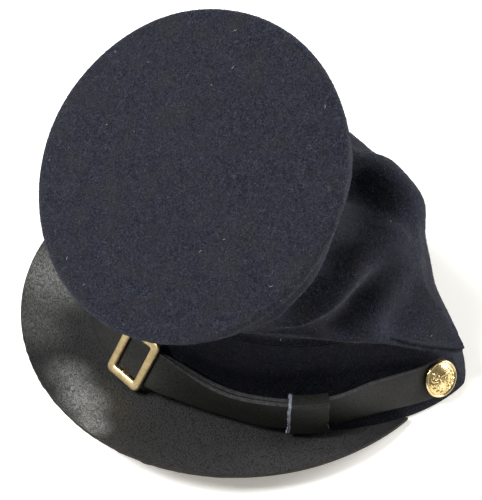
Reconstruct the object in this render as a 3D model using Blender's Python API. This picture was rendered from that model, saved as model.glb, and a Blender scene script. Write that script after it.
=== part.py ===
"""Soft wool forage cap with a flat round top that has flopped forward over a crescent leather peak.

Lengths are in metres and +Z is up. The peak points along -Y and the wearer's left is +X.
A place round the cap is an angle in degrees: 0 is the crease at the wearer's left, 90 the back,
180 the crease at the wearer's right and 270 the front.
"""

import math

import bmesh
import bpy
import numpy as np
from mathutils import Matrix, Vector

# The hem, which is the lower edge of the band
HEM_HALF_WIDTH = 0.102
HEM_FRONT_REACH = 0.085
HEM_BACK_REACH = 0.050
HEM_FRONT_POINT = 1.2
HEM_BACK_POINT = 1.5

# The band
BAND_HEIGHT = 0.038
BAND_WALL = 0.003
FRONT_LEAN = 20
SIDE_LEAN = 32
BACK_LEAN = 25

# The flat round top
TOP_RADIUS = 0.067
TOP_WALL = 0.003
TOP_EDGE = 0.005
TOP_EDGE_ROUND = 0.002
TOP_DISH = 0.0012
TOP_SIDEWAYS = -0.010
TOP_FORWARD = -0.050
TOP_HEIGHT = 0.097
TOP_TILT_FORWARD = 36
TOP_TILT_SIDE = 3

# The crown wall
CLOTH_WALL = 0.0024
SEAM_GAP = 0.0003
CROWN_TUCK = 0.0010
ROLL_REACH = 0.020
CROWN_LENGTH = 0.090
CROWN_COLLAR = 0.0035

# The peak
PEAK_WALL = 0.0022
PEAK_HALF_WIDTH = 0.094
PEAK_REACH = 0.100
PEAK_DEPTH = 0.0415
PEAK_TIP = 0.031
PEAK_FLOOR_GAP = 0.0004
PEAK_LIFT = 0.0145

# The chin strap
STRAP_WIDTH = 0.016
STRAP_WALL = 0.0018
STRAP_HALF_LENGTH = 0.132
STRAP_END = 0.006
LAYER_GAP = 0.0003
LAYER_STEP = 0.020
SEAT_GAP = 0.0005
SEAT_EASE = 0.030

# The keeper loop
KEEPER_PLACE = 0.070
KEEPER_LENGTH = 0.016
KEEPER_WALL = 0.0012
KEEPER_COVERS = 0.1

# Between the buttons the strap lies clear of the band by the back of the keeper
STRAP_STANDOFF = KEEPER_WALL + 2 * LAYER_GAP

# The slide buckle
BUCKLE_PLACE = -0.0075
BUCKLE_LENGTH = 0.0190
BUCKLE_RAIL = 0.0037
BUCKLE_WALL = 0.0014
BUCKLE_CORNER = 0.0028
BUCKLE_BAR = 0.0030
BUCKLE_LEG = 0.0012
BUCKLE_SINK = 0.0005

# The buttons
BUTTON_RADIUS = 0.0080
BUTTON_DOME = 0.0036
BUTTON_RIM = 0.0008
BUTTON_BACK = 0.0012

# Section table of the crown wall. Each row is one place round the cap. The lip is where the wall first folds
# out over the band, the roll is the thick slack fold and the neck is the waist under the top. Each is moved
# sideways, back and up from the straight way between band and top, in shares of ROLL_REACH.
SECTION_COLUMNS = (
    "place", "lip_side", "lip_back", "lip_up", "roll_side", "roll_back", "roll_up", "neck_side", "neck_back", "neck_up",
)
SECTIONS = (
    (0, 1.08, 0.00, -0.88, -0.05, 0.65, 0.15, -0.45, 0.10, -0.15),
    (10, 0.78, -0.05, -0.58, -0.10, 0.65, 0.05, -0.45, 0.15, -0.35),
    (22, 0.40, -0.05, -0.22, 0.00, 0.60, -0.02, -0.45, 0.35, -0.60),
    (40, 0.06, 0.12, 0.15, 0.27, 0.62, 0.00, -0.15, 0.05, -0.85),
    (60, 0.05, 0.20, 0.30, 0.55, 0.45, -0.12, -0.10, -0.30, -0.40),
    (90, 0.00, 0.30, 0.30, 0.00, 0.60, -0.25, 0.00, 0.00, -0.40),
    (125, -0.15, 0.40, 0.30, -0.20, 0.65, 0.00, 0.15, 0.10, -0.45),
    (150, -0.40, 0.30, 0.00, -0.25, 0.75, 0.00, 0.20, 0.25, -0.45),
    (180, -0.90, 0.00, -0.50, -0.20, 0.55, 0.10, 0.20, 0.10, -0.05),
    (200, -0.70, -0.30, -0.10, -0.10, 0.30, 0.30, 0.10, 0.00, 0.15),
    (225, -0.30, -0.45, 0.50, -0.15, -0.10, 0.45, 0.00, -0.10, 0.30),
    (270, -0.05, -0.25, 0.60, -0.05, -0.10, 0.40, -0.05, -0.10, 0.20),
    (307, 0.00, -0.55, 0.90, 0.10, 0.00, 0.45, 0.10, 0.20, 0.20),
    (335, 0.35, -0.65, 0.45, -0.10, 0.20, 0.30, -0.15, 0.10, 0.15),
    (350, 0.70, -0.40, -0.35, -0.15, 0.45, 0.25, -0.30, 0.10, 0.05),
)
ROLL_ALONG = 0.5
NECK_ALONG = 0.75
FOLD_GUARD = 0.6

# Fold table. Each row is a ridge, or a hollow where its rise is below nought, running straight from one
# place and height on the crown wall to another. Heights are shares of the way up the wall. The widths towards
# the band and towards the top, and the rise, are shares of ROLL_REACH.
FOLD_COLUMNS = ("from_place", "from_up", "to_place", "to_up", "band_width", "top_width", "rise")
FOLDS = (
    (35, 0.42, 10, 0.58, 0.50, 0.50, 0.15),
    (10, 0.58, -12, 0.645, 0.40, 0.45, 0.32),
    (-12, 0.645, -25, 0.62, 0.30, 0.40, 0.42),
    (-25, 0.62, -37, 0.57, 0.20, 0.30, 0.34),
    (95, 0.50, 74, 0.46, 0.45, 0.45, -0.40),
    (74, 0.46, 60, 0.60, 0.38, 0.45, -0.42),
    (60, 0.60, 42, 0.70, 0.42, 0.50, -0.45),
    (42, 0.70, 13, 0.84, 0.45, 0.45, -0.45),
    (13, 0.84, -1, 0.81, 0.35, 0.30, -0.35),
    (-1, 0.81, -21, 0.80, 0.25, 0.22, -0.30),
    (-8, 0.90, -30, 0.86, 0.15, 0.15, 0.16),
    (20, 0.46, -2, 0.53, 0.12, 0.40, 0.18),
    (-2, 0.53, -13, 0.47, 0.12, 0.30, 0.26),
    (-13, 0.47, -25, 0.37, 0.12, 0.25, 0.28),
    (-10, 0.56, -16, 0.51, 0.20, 0.20, -0.15),
    (-16, 0.51, -32, 0.45, 0.20, 0.20, -0.32),
    (24, 0.38, 8, 0.43, 0.18, 0.16, -0.06),
    (8, 0.43, -4, 0.47, 0.18, 0.16, -0.12),
    (-4, 0.47, -13, 0.41, 0.18, 0.16, -0.22),
    (-13, 0.41, -17, 0.385, 0.16, 0.14, -0.18),
    (214, 0.60, 184, 0.62, 0.30, 0.30, 0.25),
    (184, 0.62, 150, 0.50, 0.35, 0.35, 0.30),
    (200, 0.84, 160, 0.82, 0.30, 0.30, -0.25),
    (206, 0.34, 176, 0.46, 0.25, 0.25, 0.22),
    (124, 0.36, 80, 0.30, 0.40, 0.40, 0.15),
)

# Run of the strap from the wearer's right to the left. along is a share of half its length, height is its
# lower edge's share of BAND_HEIGHT, tilt is how far in degrees its face leans back and stand is how far its
# lower edge stands off the band, as a share of STRAP_WIDTH.
STRAP_RUN_COLUMNS = ("along", "height", "tilt", "stand")
STRAP_RUN = (
    (-1.00, 0.11, 33, 0.00),
    (-0.70, 0.20, 24, 0.00),
    (-0.40, 0.20, 24, 0.10),
    (-0.18, 0.17, 40, 0.37),
    (-0.06, 0.17, 40, 0.37),
    (0.03, 0.17, 39, 0.36),
    (0.12, 0.18, 20, 0.15),
    (0.27, 0.19, 0, 0.00),
    (0.42, 0.20, 2, 0.08),
    (0.60, 0.22, 6, 0.10),
    (0.75, 0.22, 20, 0.03),
    (1.00, 0.11, 33, 0.00),
)

# Lift of the peak's outer edge at places across it, as shares of PEAK_LIFT.
PEAK_LIFTS = ((-1.0, 0.25), (-0.6, 0.72), (-0.2, 0.95), (0.2, 0.92), (0.6, 0.72), (0.85, 0.42), (1.0, 0.10))
PEAK_CURVE = 1.3

# How finely the surfaces are cut. The crown is worked out on a fine grid, of which its solid keeps a part.
CROWN_COLUMNS = 76
CROWN_ROWS = 20
FINE_TIMES = 4
FINE_ROWS = 110
FOLD_STEPS = 20
FOLD_MERGE = 4
CALM = 8
BAND_ROWS = 3
PEAK_COLUMNS = 48
PEAK_ROWS = 6
STRAP_STATION = 0.005
BUCKLE_CORNER_STEPS = 4
SMALL_STEP = 0.0005
TOP_STEPS = 56
BUTTON_STEPS = 24
OUTLINE_STEPS = 2880


def column(table, columns, name):
    """One named column of a table, as an array."""
    return np.array([row[columns.index(name)] for row in table], float)


def spread(x, places, values):
    """Smooth curve through a short table of places and values, flat beyond its ends."""
    x = np.clip(np.asarray(x, float), places[0], places[-1])
    slopes = np.gradient(values, places)
    i = np.clip(np.searchsorted(places, x, side="right") - 1, 0, len(places) - 2)
    step = places[i + 1] - places[i]
    t = (x - places[i]) / step
    return (
        (1 + 2 * t) * (1 - t) ** 2 * values[i]
        + t * (1 - t) ** 2 * step * slopes[i]
        + t * t * (3 - 2 * t) * values[i + 1]
        - t * t * (1 - t) * step * slopes[i + 1]
    )


def spread_round(place, places, values):
    """The same for a table of places round the cap, which joins up with itself."""
    places = np.concatenate([places[-2:] - 360, places, places[:2] + 360])
    values = np.concatenate([values[-2:], values, values[:2]])
    return spread(np.mod(place, 360), places, values)


def lean(place):
    """Angle in degrees by which the band leans inwards at a place round the cap."""
    sine = np.sin(np.radians(place))
    ahead = np.clip(-sine, 0, 1) ** 2
    behind = np.clip(sine, 0, 1) ** 2
    return SIDE_LEAN + (FRONT_LEAN - SIDE_LEAN) * ahead + (BACK_LEAN - SIDE_LEAN) * behind


def outline(place, inset):
    """Plan of the hem at a place round the cap, drawn in by inset."""
    angle = np.radians(place)
    sine = np.sin(angle)
    ahead = sine < 0
    reach = np.where(ahead, HEM_FRONT_REACH, HEM_BACK_REACH) - inset
    point = np.where(ahead, HEM_FRONT_POINT, HEM_BACK_POINT)
    x = (HEM_HALF_WIDTH - inset) * np.cos(angle)
    y = reach * np.sign(sine) * np.abs(sine) ** point
    return x, y


def band_point(place, height, out=0.0):
    """Point on the band's outer face at a height above the floor, moved outwards by out."""
    place, height, out = np.broadcast_arrays(*(np.asarray(v, float) for v in (place, height, out)))
    x, y = outline(place, height * np.tan(np.radians(lean(place))) - out)
    return np.stack([x, y, height], axis=-1)


def unit(vectors):
    return vectors / np.linalg.norm(vectors, axis=-1, keepdims=True)


def front_places(distance):
    """Places round the cap at distances along the hem from the front's middle, towards the wearer's left."""
    places = np.linspace(90, 450, OUTLINE_STEPS)
    x, y = outline(places, 0.0)
    run = np.concatenate([[0], np.cumsum(np.hypot(np.diff(x), np.diff(y)))])
    return np.interp(distance, run - np.interp(270, places, run), places)


def make_object(name, mesh, material, parent):
    part = bpy.data.objects.new(name, mesh)
    bpy.context.scene.collection.objects.link(part)
    mesh.materials.append(material)
    part.parent = parent
    return part


def grid_faces(rows, columns, closed_round):
    """Quads of a grid of points, row by row."""
    across = columns if closed_round else columns - 1
    return [
        (
            r * columns + c,
            r * columns + (c + 1) % columns,
            (r + 1) * columns + (c + 1) % columns,
            (r + 1) * columns + c,
        )
        for r in range(rows - 1)
        for c in range(across)
    ]


def sheet_mesh(name, points, closed_round=False, smooth=True):
    """Mesh of one sheet from a grid of points, whose faces point outwards by the right hand."""
    rows, columns = points.shape[:2]
    mesh = bpy.data.meshes.new(name)
    mesh.from_pydata(points.reshape(-1, 3).tolist(), [], grid_faces(rows, columns, closed_round))
    mesh.validate()
    if smooth:
        mesh.shade_smooth()
    return mesh


def ring_mesh(name, loops):
    """Mesh of a ring from loops of points that go round its section, each loop a full turn of the cap."""
    rows, columns = loops.shape[:2]
    closed = np.concatenate([loops, loops[:1]])
    faces = grid_faces(rows + 1, columns, True)
    faces = [tuple(i % (rows * columns) for i in face) for face in faces]
    mesh = bpy.data.meshes.new(name)
    mesh.from_pydata(closed[:-1].reshape(-1, 3).tolist(), [], faces)
    mesh.validate()
    mesh.shade_smooth()
    mesh.set_sharp_from_angle(angle=math.radians(40))
    return mesh


def thicken(part, wall, offset):
    """Gives a sheet its thickness. Offset -1 keeps the sheet as the outer face and 1 as the inner one."""
    solidify = part.modifiers.new("wall", "SOLIDIFY")
    solidify.thickness = wall
    solidify.offset = offset
    solidify.use_even_offset = False
    return part


def turned_mesh(name, profile, steps):
    """Solid turned about Z from a profile of (radius, height) that starts and ends on the axis."""
    shape = bmesh.new()
    verts = [shape.verts.new((radius, 0, height)) for radius, height in profile]
    edges = [shape.edges.new(pair) for pair in zip(verts, verts[1:])]
    bmesh.ops.spin(
        shape, geom=verts + edges, cent=(0, 0, 0), axis=(0, 0, 1), angle=2 * math.pi, steps=steps,
    )
    bmesh.ops.remove_doubles(shape, verts=shape.verts, dist=1e-6)
    bmesh.ops.recalc_face_normals(shape, faces=shape.faces)
    mesh = bpy.data.meshes.new(name)
    shape.to_mesh(mesh)
    shape.free()
    mesh.shade_smooth()
    mesh.set_sharp_from_angle(angle=math.radians(50))
    return mesh


def material(name, colour, roughness, metallic=0.0):
    finish = bpy.data.materials.new(name)
    finish.use_nodes = True
    shader = finish.node_tree.nodes["Principled BSDF"]
    shader.inputs["Base Color"].default_value = (*colour, 1)
    shader.inputs["Roughness"].default_value = roughness
    shader.inputs["Metallic"].default_value = metallic
    return finish


def top_place():
    """Matrix that lays the flat top in its place, its face along local +Z."""
    turn = Matrix.Rotation(math.radians(-TOP_TILT_SIDE), 4, "Y")
    turn = turn @ Matrix.Rotation(math.radians(TOP_TILT_FORWARD), 4, "X")
    return Matrix.Translation((TOP_SIDEWAYS, TOP_FORWARD, TOP_HEIGHT)) @ turn


def rim_point(place, below=0.0, inset=0.0):
    """Point under the edge of the top where the crown wall's outer face ends, or below or inside it."""
    place = np.asarray(place, float)
    matrix = np.array(top_place())
    angle = np.radians(place)
    radius = TOP_RADIUS - CROWN_TUCK - inset
    depth = np.full_like(angle, -(TOP_EDGE + SEAM_GAP + below))
    local = np.stack([radius * np.cos(angle), radius * np.sin(angle), depth], axis=-1)
    return local @ matrix[:3, :3].T + matrix[:3, 3]


def through(knots, ways):
    """Smooth curve through knots (knot, ..., 3) at ways from 0 to 1, spaced by the knots' distances."""
    gaps = np.linalg.norm(np.diff(knots, axis=0), axis=-1) ** 0.5
    at = np.concatenate([np.zeros((1, *gaps.shape[1:])), np.cumsum(gaps, axis=0)])
    at = at / at[-1]
    slopes = np.empty_like(knots)
    inner = (knots[2:] - knots[:-2]) / (at[2:] - at[:-2])[..., None]
    slopes[1:-1] = inner
    slopes[0] = (knots[1] - knots[0]) / (at[1] - at[0])[..., None]
    slopes[-1] = (knots[-1] - knots[-2]) / (at[-1] - at[-2])[..., None]
    made = []
    for way in ways:
        i = np.clip((at[1:-1] <= way).sum(axis=0), 0, len(knots) - 2)
        pick = (i, np.arange(knots.shape[1]))
        after = (i + 1, np.arange(knots.shape[1]))
        step = (at[after] - at[pick])[:, None]
        t = ((way - at[pick]) / step[:, 0])[:, None]
        made.append(
            (1 + 2 * t) * (1 - t) ** 2 * knots[pick]
            + t * (1 - t) ** 2 * step * slopes[pick]
            + t * t * (3 - 2 * t) * knots[after]
            - t * t * (1 - t) * step * slopes[after]
        )
    return np.array(made)


def grid_normals(points):
    """Outward normals of a grid that goes round the cap."""
    around = np.roll(points, -1, axis=1) - np.roll(points, 1, axis=1)
    upwards = np.gradient(points, axis=0)
    return unit(np.cross(around, upwards))


def fold_rise(plain, places, ways):
    """Height of the folds over a grid of the plain crown wall, whose places run evenly round the cap."""
    girth = math.pi * (HEM_HALF_WIDTH + HEM_FRONT_REACH) / 360
    ridge, hollow = np.zeros((2, *plain.shape[:2]))
    here = np.stack(np.broadcast_arrays(places[None, :] * girth, ways[:, None] * CROWN_LENGTH), axis=-1)
    for row in FOLDS:
        fold = dict(zip(FOLD_COLUMNS, row))
        ends = np.array([[fold["from_place"], fold["from_up"]], [fold["to_place"], fold["to_up"]]])
        spots = ends[0] + (ends[1] - ends[0]) * np.linspace(0, 1, FOLD_STEPS)[:, None]
        spots_row = np.rint(np.interp(spots[:, 1], ways, np.arange(len(ways)))).astype(int)
        spots_column = np.rint(spots[:, 0] / 360 * len(places)).astype(int) % len(places)
        away = np.linalg.norm(plain[:, :, None] - plain[spots_row, spots_column], axis=-1).min(axis=-1)
        start, run = ends[0] * (girth, CROWN_LENGTH), (ends[1] - ends[0]) * (girth, CROWN_LENGTH)
        apart, side = np.full(away.shape, np.inf), np.zeros(away.shape)
        for lap in (-360, 0, 360):
            from_start = here + (lap * girth, 0) - start
            share = np.clip((from_start @ run) / (run @ run), 0, 1)
            gap = np.linalg.norm(from_start - share[..., None] * run, axis=-1)
            cross = run[0] * from_start[..., 1] - run[1] * from_start[..., 0]
            side = np.where(gap < apart, cross, side)
            apart = np.minimum(gap, apart)
        width = np.where(side > 0, fold["band_width"], fold["top_width"]) * ROLL_REACH
        size = abs(fold["rise"]) * ROLL_REACH * np.exp(-((np.maximum(away, apart * FOLD_GUARD) / width) ** 2))
        kind = ridge if fold["rise"] > 0 else hollow
        kind += size**FOLD_MERGE
    rise = ridge ** (1 / FOLD_MERGE) - hollow ** (1 / FOLD_MERGE)
    return rise * np.sin(np.pi * np.clip(ways, 0, 1))[:, None] ** 0.5


def calmed(points, times):
    """The grid with each point drawn towards its neighbours, its first and last rows kept."""
    points = points.copy()
    for _ in range(times):
        beside = np.roll(points, 1, axis=1) + np.roll(points, -1, axis=1)
        points[1:-1] = 0.5 * points[1:-1] + 0.125 * (points[:-2] + points[2:] + beside[1:-1])
    return points


def crown_points(places, ways):
    """Grid of points on the crown wall's outer face, from the band up to the top."""
    foot = band_point(places, BAND_HEIGHT + SEAM_GAP)
    head = rim_point(places)
    given = column(SECTIONS, SECTION_COLUMNS, "place")
    share = {name: spread_round(places, given, column(SECTIONS, SECTION_COLUMNS, name)) for name in SECTION_COLUMNS[1:]}

    def moved(knot, along):
        move = np.stack([share[f"{knot}_{way}"] for way in ("side", "back", "up")], axis=-1)
        return foot + (head - foot) * along + move * ROLL_REACH

    knots = [
        foot,
        band_point(places, BAND_HEIGHT + SEAM_GAP + CROWN_COLLAR),
        moved("lip", 0),
        moved("roll", ROLL_ALONG),
        moved("neck", NECK_ALONG),
        rim_point(places, CROWN_COLLAR),
        head,
    ]
    plain = calmed(through(np.stack(knots), ways), CALM)
    return calmed(plain + grid_normals(plain) * fold_rise(plain, places, ways)[..., None], CALM)


def make_crown(cloth, parent):
    """Cloth wall from the band to the top. Its inner face follows the outer one, level with it at both ends."""
    fine_places = np.arange(CROWN_COLUMNS * FINE_TIMES) * 360 / (CROWN_COLUMNS * FINE_TIMES)
    fine = crown_points(fine_places, np.linspace(0, 1, FINE_ROWS))
    kept = np.linspace(0, FINE_ROWS - 1, CROWN_ROWS).round().astype(int)
    outer = fine[kept, ::FINE_TIMES]
    inner = outer - grid_normals(outer) * CLOTH_WALL
    places = fine_places[::FINE_TIMES]
    inner[0] = band_point(places, BAND_HEIGHT + SEAM_GAP, -CLOTH_WALL)
    inner[-1] = rim_point(places, inset=CLOTH_WALL)
    return make_object("crown", ring_mesh("crown", np.concatenate([outer, inner[::-1]])), cloth, parent)


def make_band(cloth, parent):
    places = np.arange(CROWN_COLUMNS) * 360 / CROWN_COLUMNS
    heights = np.linspace(0, BAND_HEIGHT, BAND_ROWS + 1)
    outer = [band_point(places, height) for height in heights]
    inner = [band_point(places, height, -BAND_WALL) for height in heights[::-1]]
    return make_object("band", ring_mesh("band", np.array(outer + inner)), cloth, parent)


def make_top(cloth, parent):
    turns = np.linspace(0, math.pi / 2, 5)
    profile = [(0.0, TOP_DISH), (TOP_RADIUS * 0.5, TOP_DISH * 0.8), (TOP_RADIUS * 0.85, TOP_DISH * 0.2)]
    profile += [
        (TOP_RADIUS - TOP_EDGE_ROUND * (1 - math.sin(turn)), -TOP_EDGE_ROUND * (1 - math.cos(turn)))
        for turn in turns
    ]
    profile += [(TOP_RADIUS, -TOP_EDGE + TOP_EDGE_ROUND / 2), (TOP_RADIUS - TOP_EDGE_ROUND / 2, -TOP_EDGE)]
    inside = TOP_RADIUS - CROWN_TUCK - 2 * CLOTH_WALL
    profile += [(inside, -TOP_EDGE), (inside - TOP_EDGE_ROUND, -TOP_WALL), (0.0, TOP_DISH - TOP_WALL)]
    top = make_object("flat_top", turned_mesh("flat_top", profile, TOP_STEPS), cloth, parent)
    top.matrix_local = top_place()
    return top


def peak_points():
    """Grid of points on the peak's upper face, from its outer edge to the band."""
    centre_y = PEAK_REACH - HEM_FRONT_REACH - PEAK_DEPTH
    inner_tip = math.degrees(math.asin((PEAK_TIP / HEM_FRONT_REACH) ** (1 / HEM_FRONT_POINT)))
    outer_tip = math.asin((PEAK_TIP + centre_y) / PEAK_REACH)
    inner_x, inner_y = outline(np.linspace(180 + inner_tip, 360 - inner_tip, PEAK_COLUMNS), -SEAM_GAP)
    turn = np.linspace(math.pi + outer_tip, 2 * math.pi - outer_tip, PEAK_COLUMNS)
    outer_x = PEAK_HALF_WIDTH * np.cos(turn)
    outer_y = centre_y + PEAK_REACH * np.sin(turn)
    side = np.linspace(-1, 1, PEAK_COLUMNS)
    lifts = np.array(PEAK_LIFTS)
    lift = PEAK_LIFT * spread(side, lifts[:, 0], lifts[:, 1])
    rows = []
    for share in np.linspace(1, 0, PEAK_ROWS):
        height = PEAK_FLOOR_GAP + PEAK_WALL + lift * share**PEAK_CURVE
        x = inner_x + (outer_x - inner_x) * share
        y = inner_y + (outer_y - inner_y) * share
        rows.append(np.stack([x, y, height], axis=-1))
    return np.array(rows)


def make_peak(leather, parent):
    peak = make_object("peak", sheet_mesh("peak", peak_points()), leather, parent)
    return thicken(peak, PEAK_WALL, -1)


def strap_run(distance, name):
    along = column(STRAP_RUN, STRAP_RUN_COLUMNS, "along") * STRAP_HALF_LENGTH
    return spread(distance, along, column(STRAP_RUN, STRAP_RUN_COLUMNS, name))


def strap_point(distance, across, out):
    """Point on the strap's way: distance along the front, across it from its centre line, out from its back."""
    distance, across, out = np.broadcast_arrays(*(np.asarray(v, float) for v in (distance, across, out)))
    place = front_places(distance)
    low = BAND_HEIGHT * strap_run(distance, "height")
    tilt = np.radians(strap_run(distance, "tilt"))
    up_strap = across + STRAP_WIDTH / 2
    height = low + up_strap * np.cos(tilt) + out * np.sin(tilt)
    inset = low * np.tan(np.radians(lean(place))) + up_strap * np.sin(tilt) - out * np.cos(tilt)
    inset = inset - STRAP_WIDTH * strap_run(distance, "stand")
    x, y = outline(place, inset)
    return np.stack([x, y, height], axis=-1)


def join_rings(shape, here, there):
    """Triangles between two rings. The cut of each quad runs the same way on both sides of a twisting strap."""
    for i in range(len(here)):
        low, high = sorted((i, (i + 1) % len(here)))
        shape.faces.new((here[low], there[low], there[high]))
        shape.faces.new((here[low], there[high], here[high]))


def loft_mesh(name, rings, closed_round=False):
    """Solid lofted through rings of points, its ends closed unless it runs round to its start."""
    shape = bmesh.new()
    rows = [[shape.verts.new(point) for point in ring] for ring in rings]
    after = rows[1:] + rows[:1] if closed_round else rows[1:]
    for here, there in zip(rows, after):
        join_rings(shape, here, there)
    if not closed_round:
        shape.faces.new(rows[0])
        shape.faces.new(rows[-1][::-1])
    bmesh.ops.recalc_face_normals(shape, faces=shape.faces)
    mesh = bpy.data.meshes.new(name)
    shape.to_mesh(mesh)
    shape.free()
    mesh.shade_smooth()
    mesh.set_sharp_from_angle(angle=math.radians(40))
    return mesh


def eased(share):
    """Smooth step from 0 to 1."""
    share = np.clip(share, 0, 1)
    return share * share * (3 - 2 * share)


def back_level(distance):
    """How far the back layer's inner face lies from the band: it is seated on the band at the buttons."""
    away = eased((STRAP_HALF_LENGTH - np.abs(distance)) / SEAT_EASE)
    return SEAT_GAP + (STRAP_STANDOFF - SEAT_GAP) * away


def front_level(distance):
    """How far the front layer's inner face lies from the band: it steps up onto the back layer at the buckle."""
    step = eased((distance - BUCKLE_PLACE + BUCKLE_LENGTH + LAYER_STEP) / LAYER_STEP)
    return back_level(distance) + (STRAP_WALL + LAYER_GAP) * step


def stations(start, end):
    """Distances along the front where the layers of the strap are cut, shared by all of them."""
    first, last = math.ceil(start / STRAP_STATION + 0.5), math.floor(end / STRAP_STATION - 0.5)
    return np.array([start, *(np.arange(first, last + 1) * STRAP_STATION), end])


def ribbon_mesh(name, start, end, level):
    """Flat strap from start to end along the front, its inner face at a level over the band."""
    distance = stations(start, end)
    inside = level(distance)
    corners = ((-0.5, 0), (-0.5, 1), (0.5, 1), (0.5, 0))
    rings = np.stack([strap_point(distance, STRAP_WIDTH * a, inside + STRAP_WALL * o) for a, o in corners], axis=1)
    return loft_mesh(name, rings)


def make_straps(leather, parent):
    last = STRAP_HALF_LENGTH + STRAP_END
    left_start = BUCKLE_PLACE + BUCKLE_BAR / 2 + LAYER_GAP
    right_end = KEEPER_PLACE + KEEPER_LENGTH * KEEPER_COVERS
    left = ribbon_mesh("strap_left", left_start, last, back_level)
    right = ribbon_mesh("strap_right", -last, right_end, front_level)
    return make_object("strap_left", left, leather, parent), make_object("strap_right", right, leather, parent)


def make_keeper(leather, parent):
    """Leather loop round both layers of the strap."""
    distance = stations(KEEPER_PLACE - KEEPER_LENGTH / 2, KEEPER_PLACE + KEEPER_LENGTH / 2)
    low = STRAP_STANDOFF - LAYER_GAP
    high = STRAP_STANDOFF + 2 * (STRAP_WALL + LAYER_GAP)
    half = STRAP_WIDTH / 2 + LAYER_GAP
    hole = ((-half, low), (-half, high), (half, high), (half, low))
    skin = [(math.copysign(abs(a) + KEEPER_WALL, a), o + math.copysign(KEEPER_WALL, o - (low + high) / 2)) for a, o in hole]
    shape = bmesh.new()
    grid = [
        [[shape.verts.new(strap_point(d, a, o)) for a, o in section] for d in distance] for section in (hole, skin)
    ]
    for layer in grid:
        for here, there in zip(layer, layer[1:]):
            join_rings(shape, here, there)
    for end in (0, -1):
        join_rings(shape, grid[0][end], grid[1][end])
    bmesh.ops.recalc_face_normals(shape, faces=shape.faces)
    mesh = bpy.data.meshes.new("strap_keeper")
    shape.to_mesh(mesh)
    shape.free()
    return make_object("strap_keeper", mesh, leather, parent)


def wall_matrix(distance, out):
    """Matrix of a place on the strap: local X along it, local Y across it and local Z outwards."""
    centre = strap_point(distance, 0.0, out)
    along = unit(strap_point(distance + SMALL_STEP, 0.0, out) - strap_point(distance - SMALL_STEP, 0.0, out))
    across = strap_point(distance, STRAP_WIDTH / 2, out) - strap_point(distance, -STRAP_WIDTH / 2, out)
    outwards = unit(np.cross(along, across))
    across = np.cross(outwards, along)
    matrix = np.eye(4)
    matrix[:3, 0], matrix[:3, 1], matrix[:3, 2], matrix[:3, 3] = along, across, outwards, centre
    return Matrix(matrix.tolist())


def rounded_box(half_x, half_y, corner, steps):
    """Outline of a rectangle with rounded corners."""
    points = []
    for quarter, (sx, sy) in enumerate(((1, 1), (-1, 1), (-1, -1), (1, -1))):
        for step in range(steps + 1):
            turn = math.radians(90 * (quarter + step / steps))
            points.append((sx * (half_x - corner) + corner * math.cos(turn), sy * (half_y - corner) + corner * math.sin(turn)))
    return points


def make_buckle(brass, parent):
    """Flat frame lying over the strap, with a bar behind the strap that joins its two long rails."""
    half_x = BUCKLE_LENGTH / 2
    half_y = STRAP_WIDTH / 2 + LAYER_GAP + BUCKLE_RAIL
    outer = rounded_box(half_x, half_y, BUCKLE_CORNER, BUCKLE_CORNER_STEPS)
    inner = rounded_box(half_x - BUCKLE_RAIL, half_y - BUCKLE_RAIL, BUCKLE_CORNER / 4, BUCKLE_CORNER_STEPS)
    ease = BUCKLE_WALL / 4
    rings = [
        [(x * (1 - ease / half_x), y * (1 - ease / half_y), BUCKLE_WALL) for x, y in outer],
        [(x, y, BUCKLE_WALL - ease) for x, y in outer],
        [(x, y, 0.0) for x, y in outer],
        [(x, y, 0.0) for x, y in inner],
        [(x, y, BUCKLE_WALL - ease) for x, y in inner],
        [(x * (1 + ease / half_x), y * (1 + ease / half_y), BUCKLE_WALL) for x, y in inner],
    ]
    frame_level = front_level(BUCKLE_PLACE) + STRAP_WALL + LAYER_GAP
    place = wall_matrix(BUCKLE_PLACE, frame_level)
    buckle = make_object("buckle", loft_mesh("buckle", rings, closed_round=True), brass, parent)
    buckle.matrix_local = place
    inside = STRAP_WIDTH / 2 + LAYER_GAP
    outside = inside + BUCKLE_LEG
    back = STRAP_STANDOFF - frame_level
    front = back + STRAP_WALL
    way = [
        (-outside, BUCKLE_SINK), (-outside, back), (outside, back), (outside, BUCKLE_SINK),
        (inside, BUCKLE_SINK), (inside, front), (-inside, front), (-inside, BUCKLE_SINK),
    ]
    ends = [[(x, y, z) for y, z in way] for x in (-BUCKLE_BAR / 2, BUCKLE_BAR / 2)]
    bar = make_object("buckle_bar", loft_mesh("buckle_bar", ends), brass, parent)
    bar.matrix_local = place
    bar.hide_render = True
    bar.display_type = "WIRE"
    join = buckle.modifiers.new("bar", "BOOLEAN")
    join.operation = "UNION"
    join.solver = "EXACT"
    join.object = bar
    return buckle


def make_button(name, distance, brass, parent):
    """Domed button with a raised rim, turned, lying on the end of the strap."""
    profile = [(0.0, 0.0), (BUTTON_RADIUS * 0.8, 0.0), (BUTTON_RADIUS, BUTTON_BACK * 0.5), (BUTTON_RADIUS, BUTTON_BACK)]
    profile += [(BUTTON_RADIUS * 0.97, BUTTON_BACK + BUTTON_RIM), (BUTTON_RADIUS * 0.91, BUTTON_BACK + BUTTON_RIM)]
    for share in (0.87, 0.7, 0.5, 0.3, 0.15):
        profile.append((BUTTON_RADIUS * share, BUTTON_BACK + (BUTTON_DOME - BUTTON_BACK) * (1 - share**2)))
    profile.append((0.0, BUTTON_DOME))
    button = make_object(name, turned_mesh(name, profile, BUTTON_STEPS), brass, parent)
    button.matrix_local = wall_matrix(distance, SEAT_GAP + STRAP_WALL + LAYER_GAP)
    return button


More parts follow.
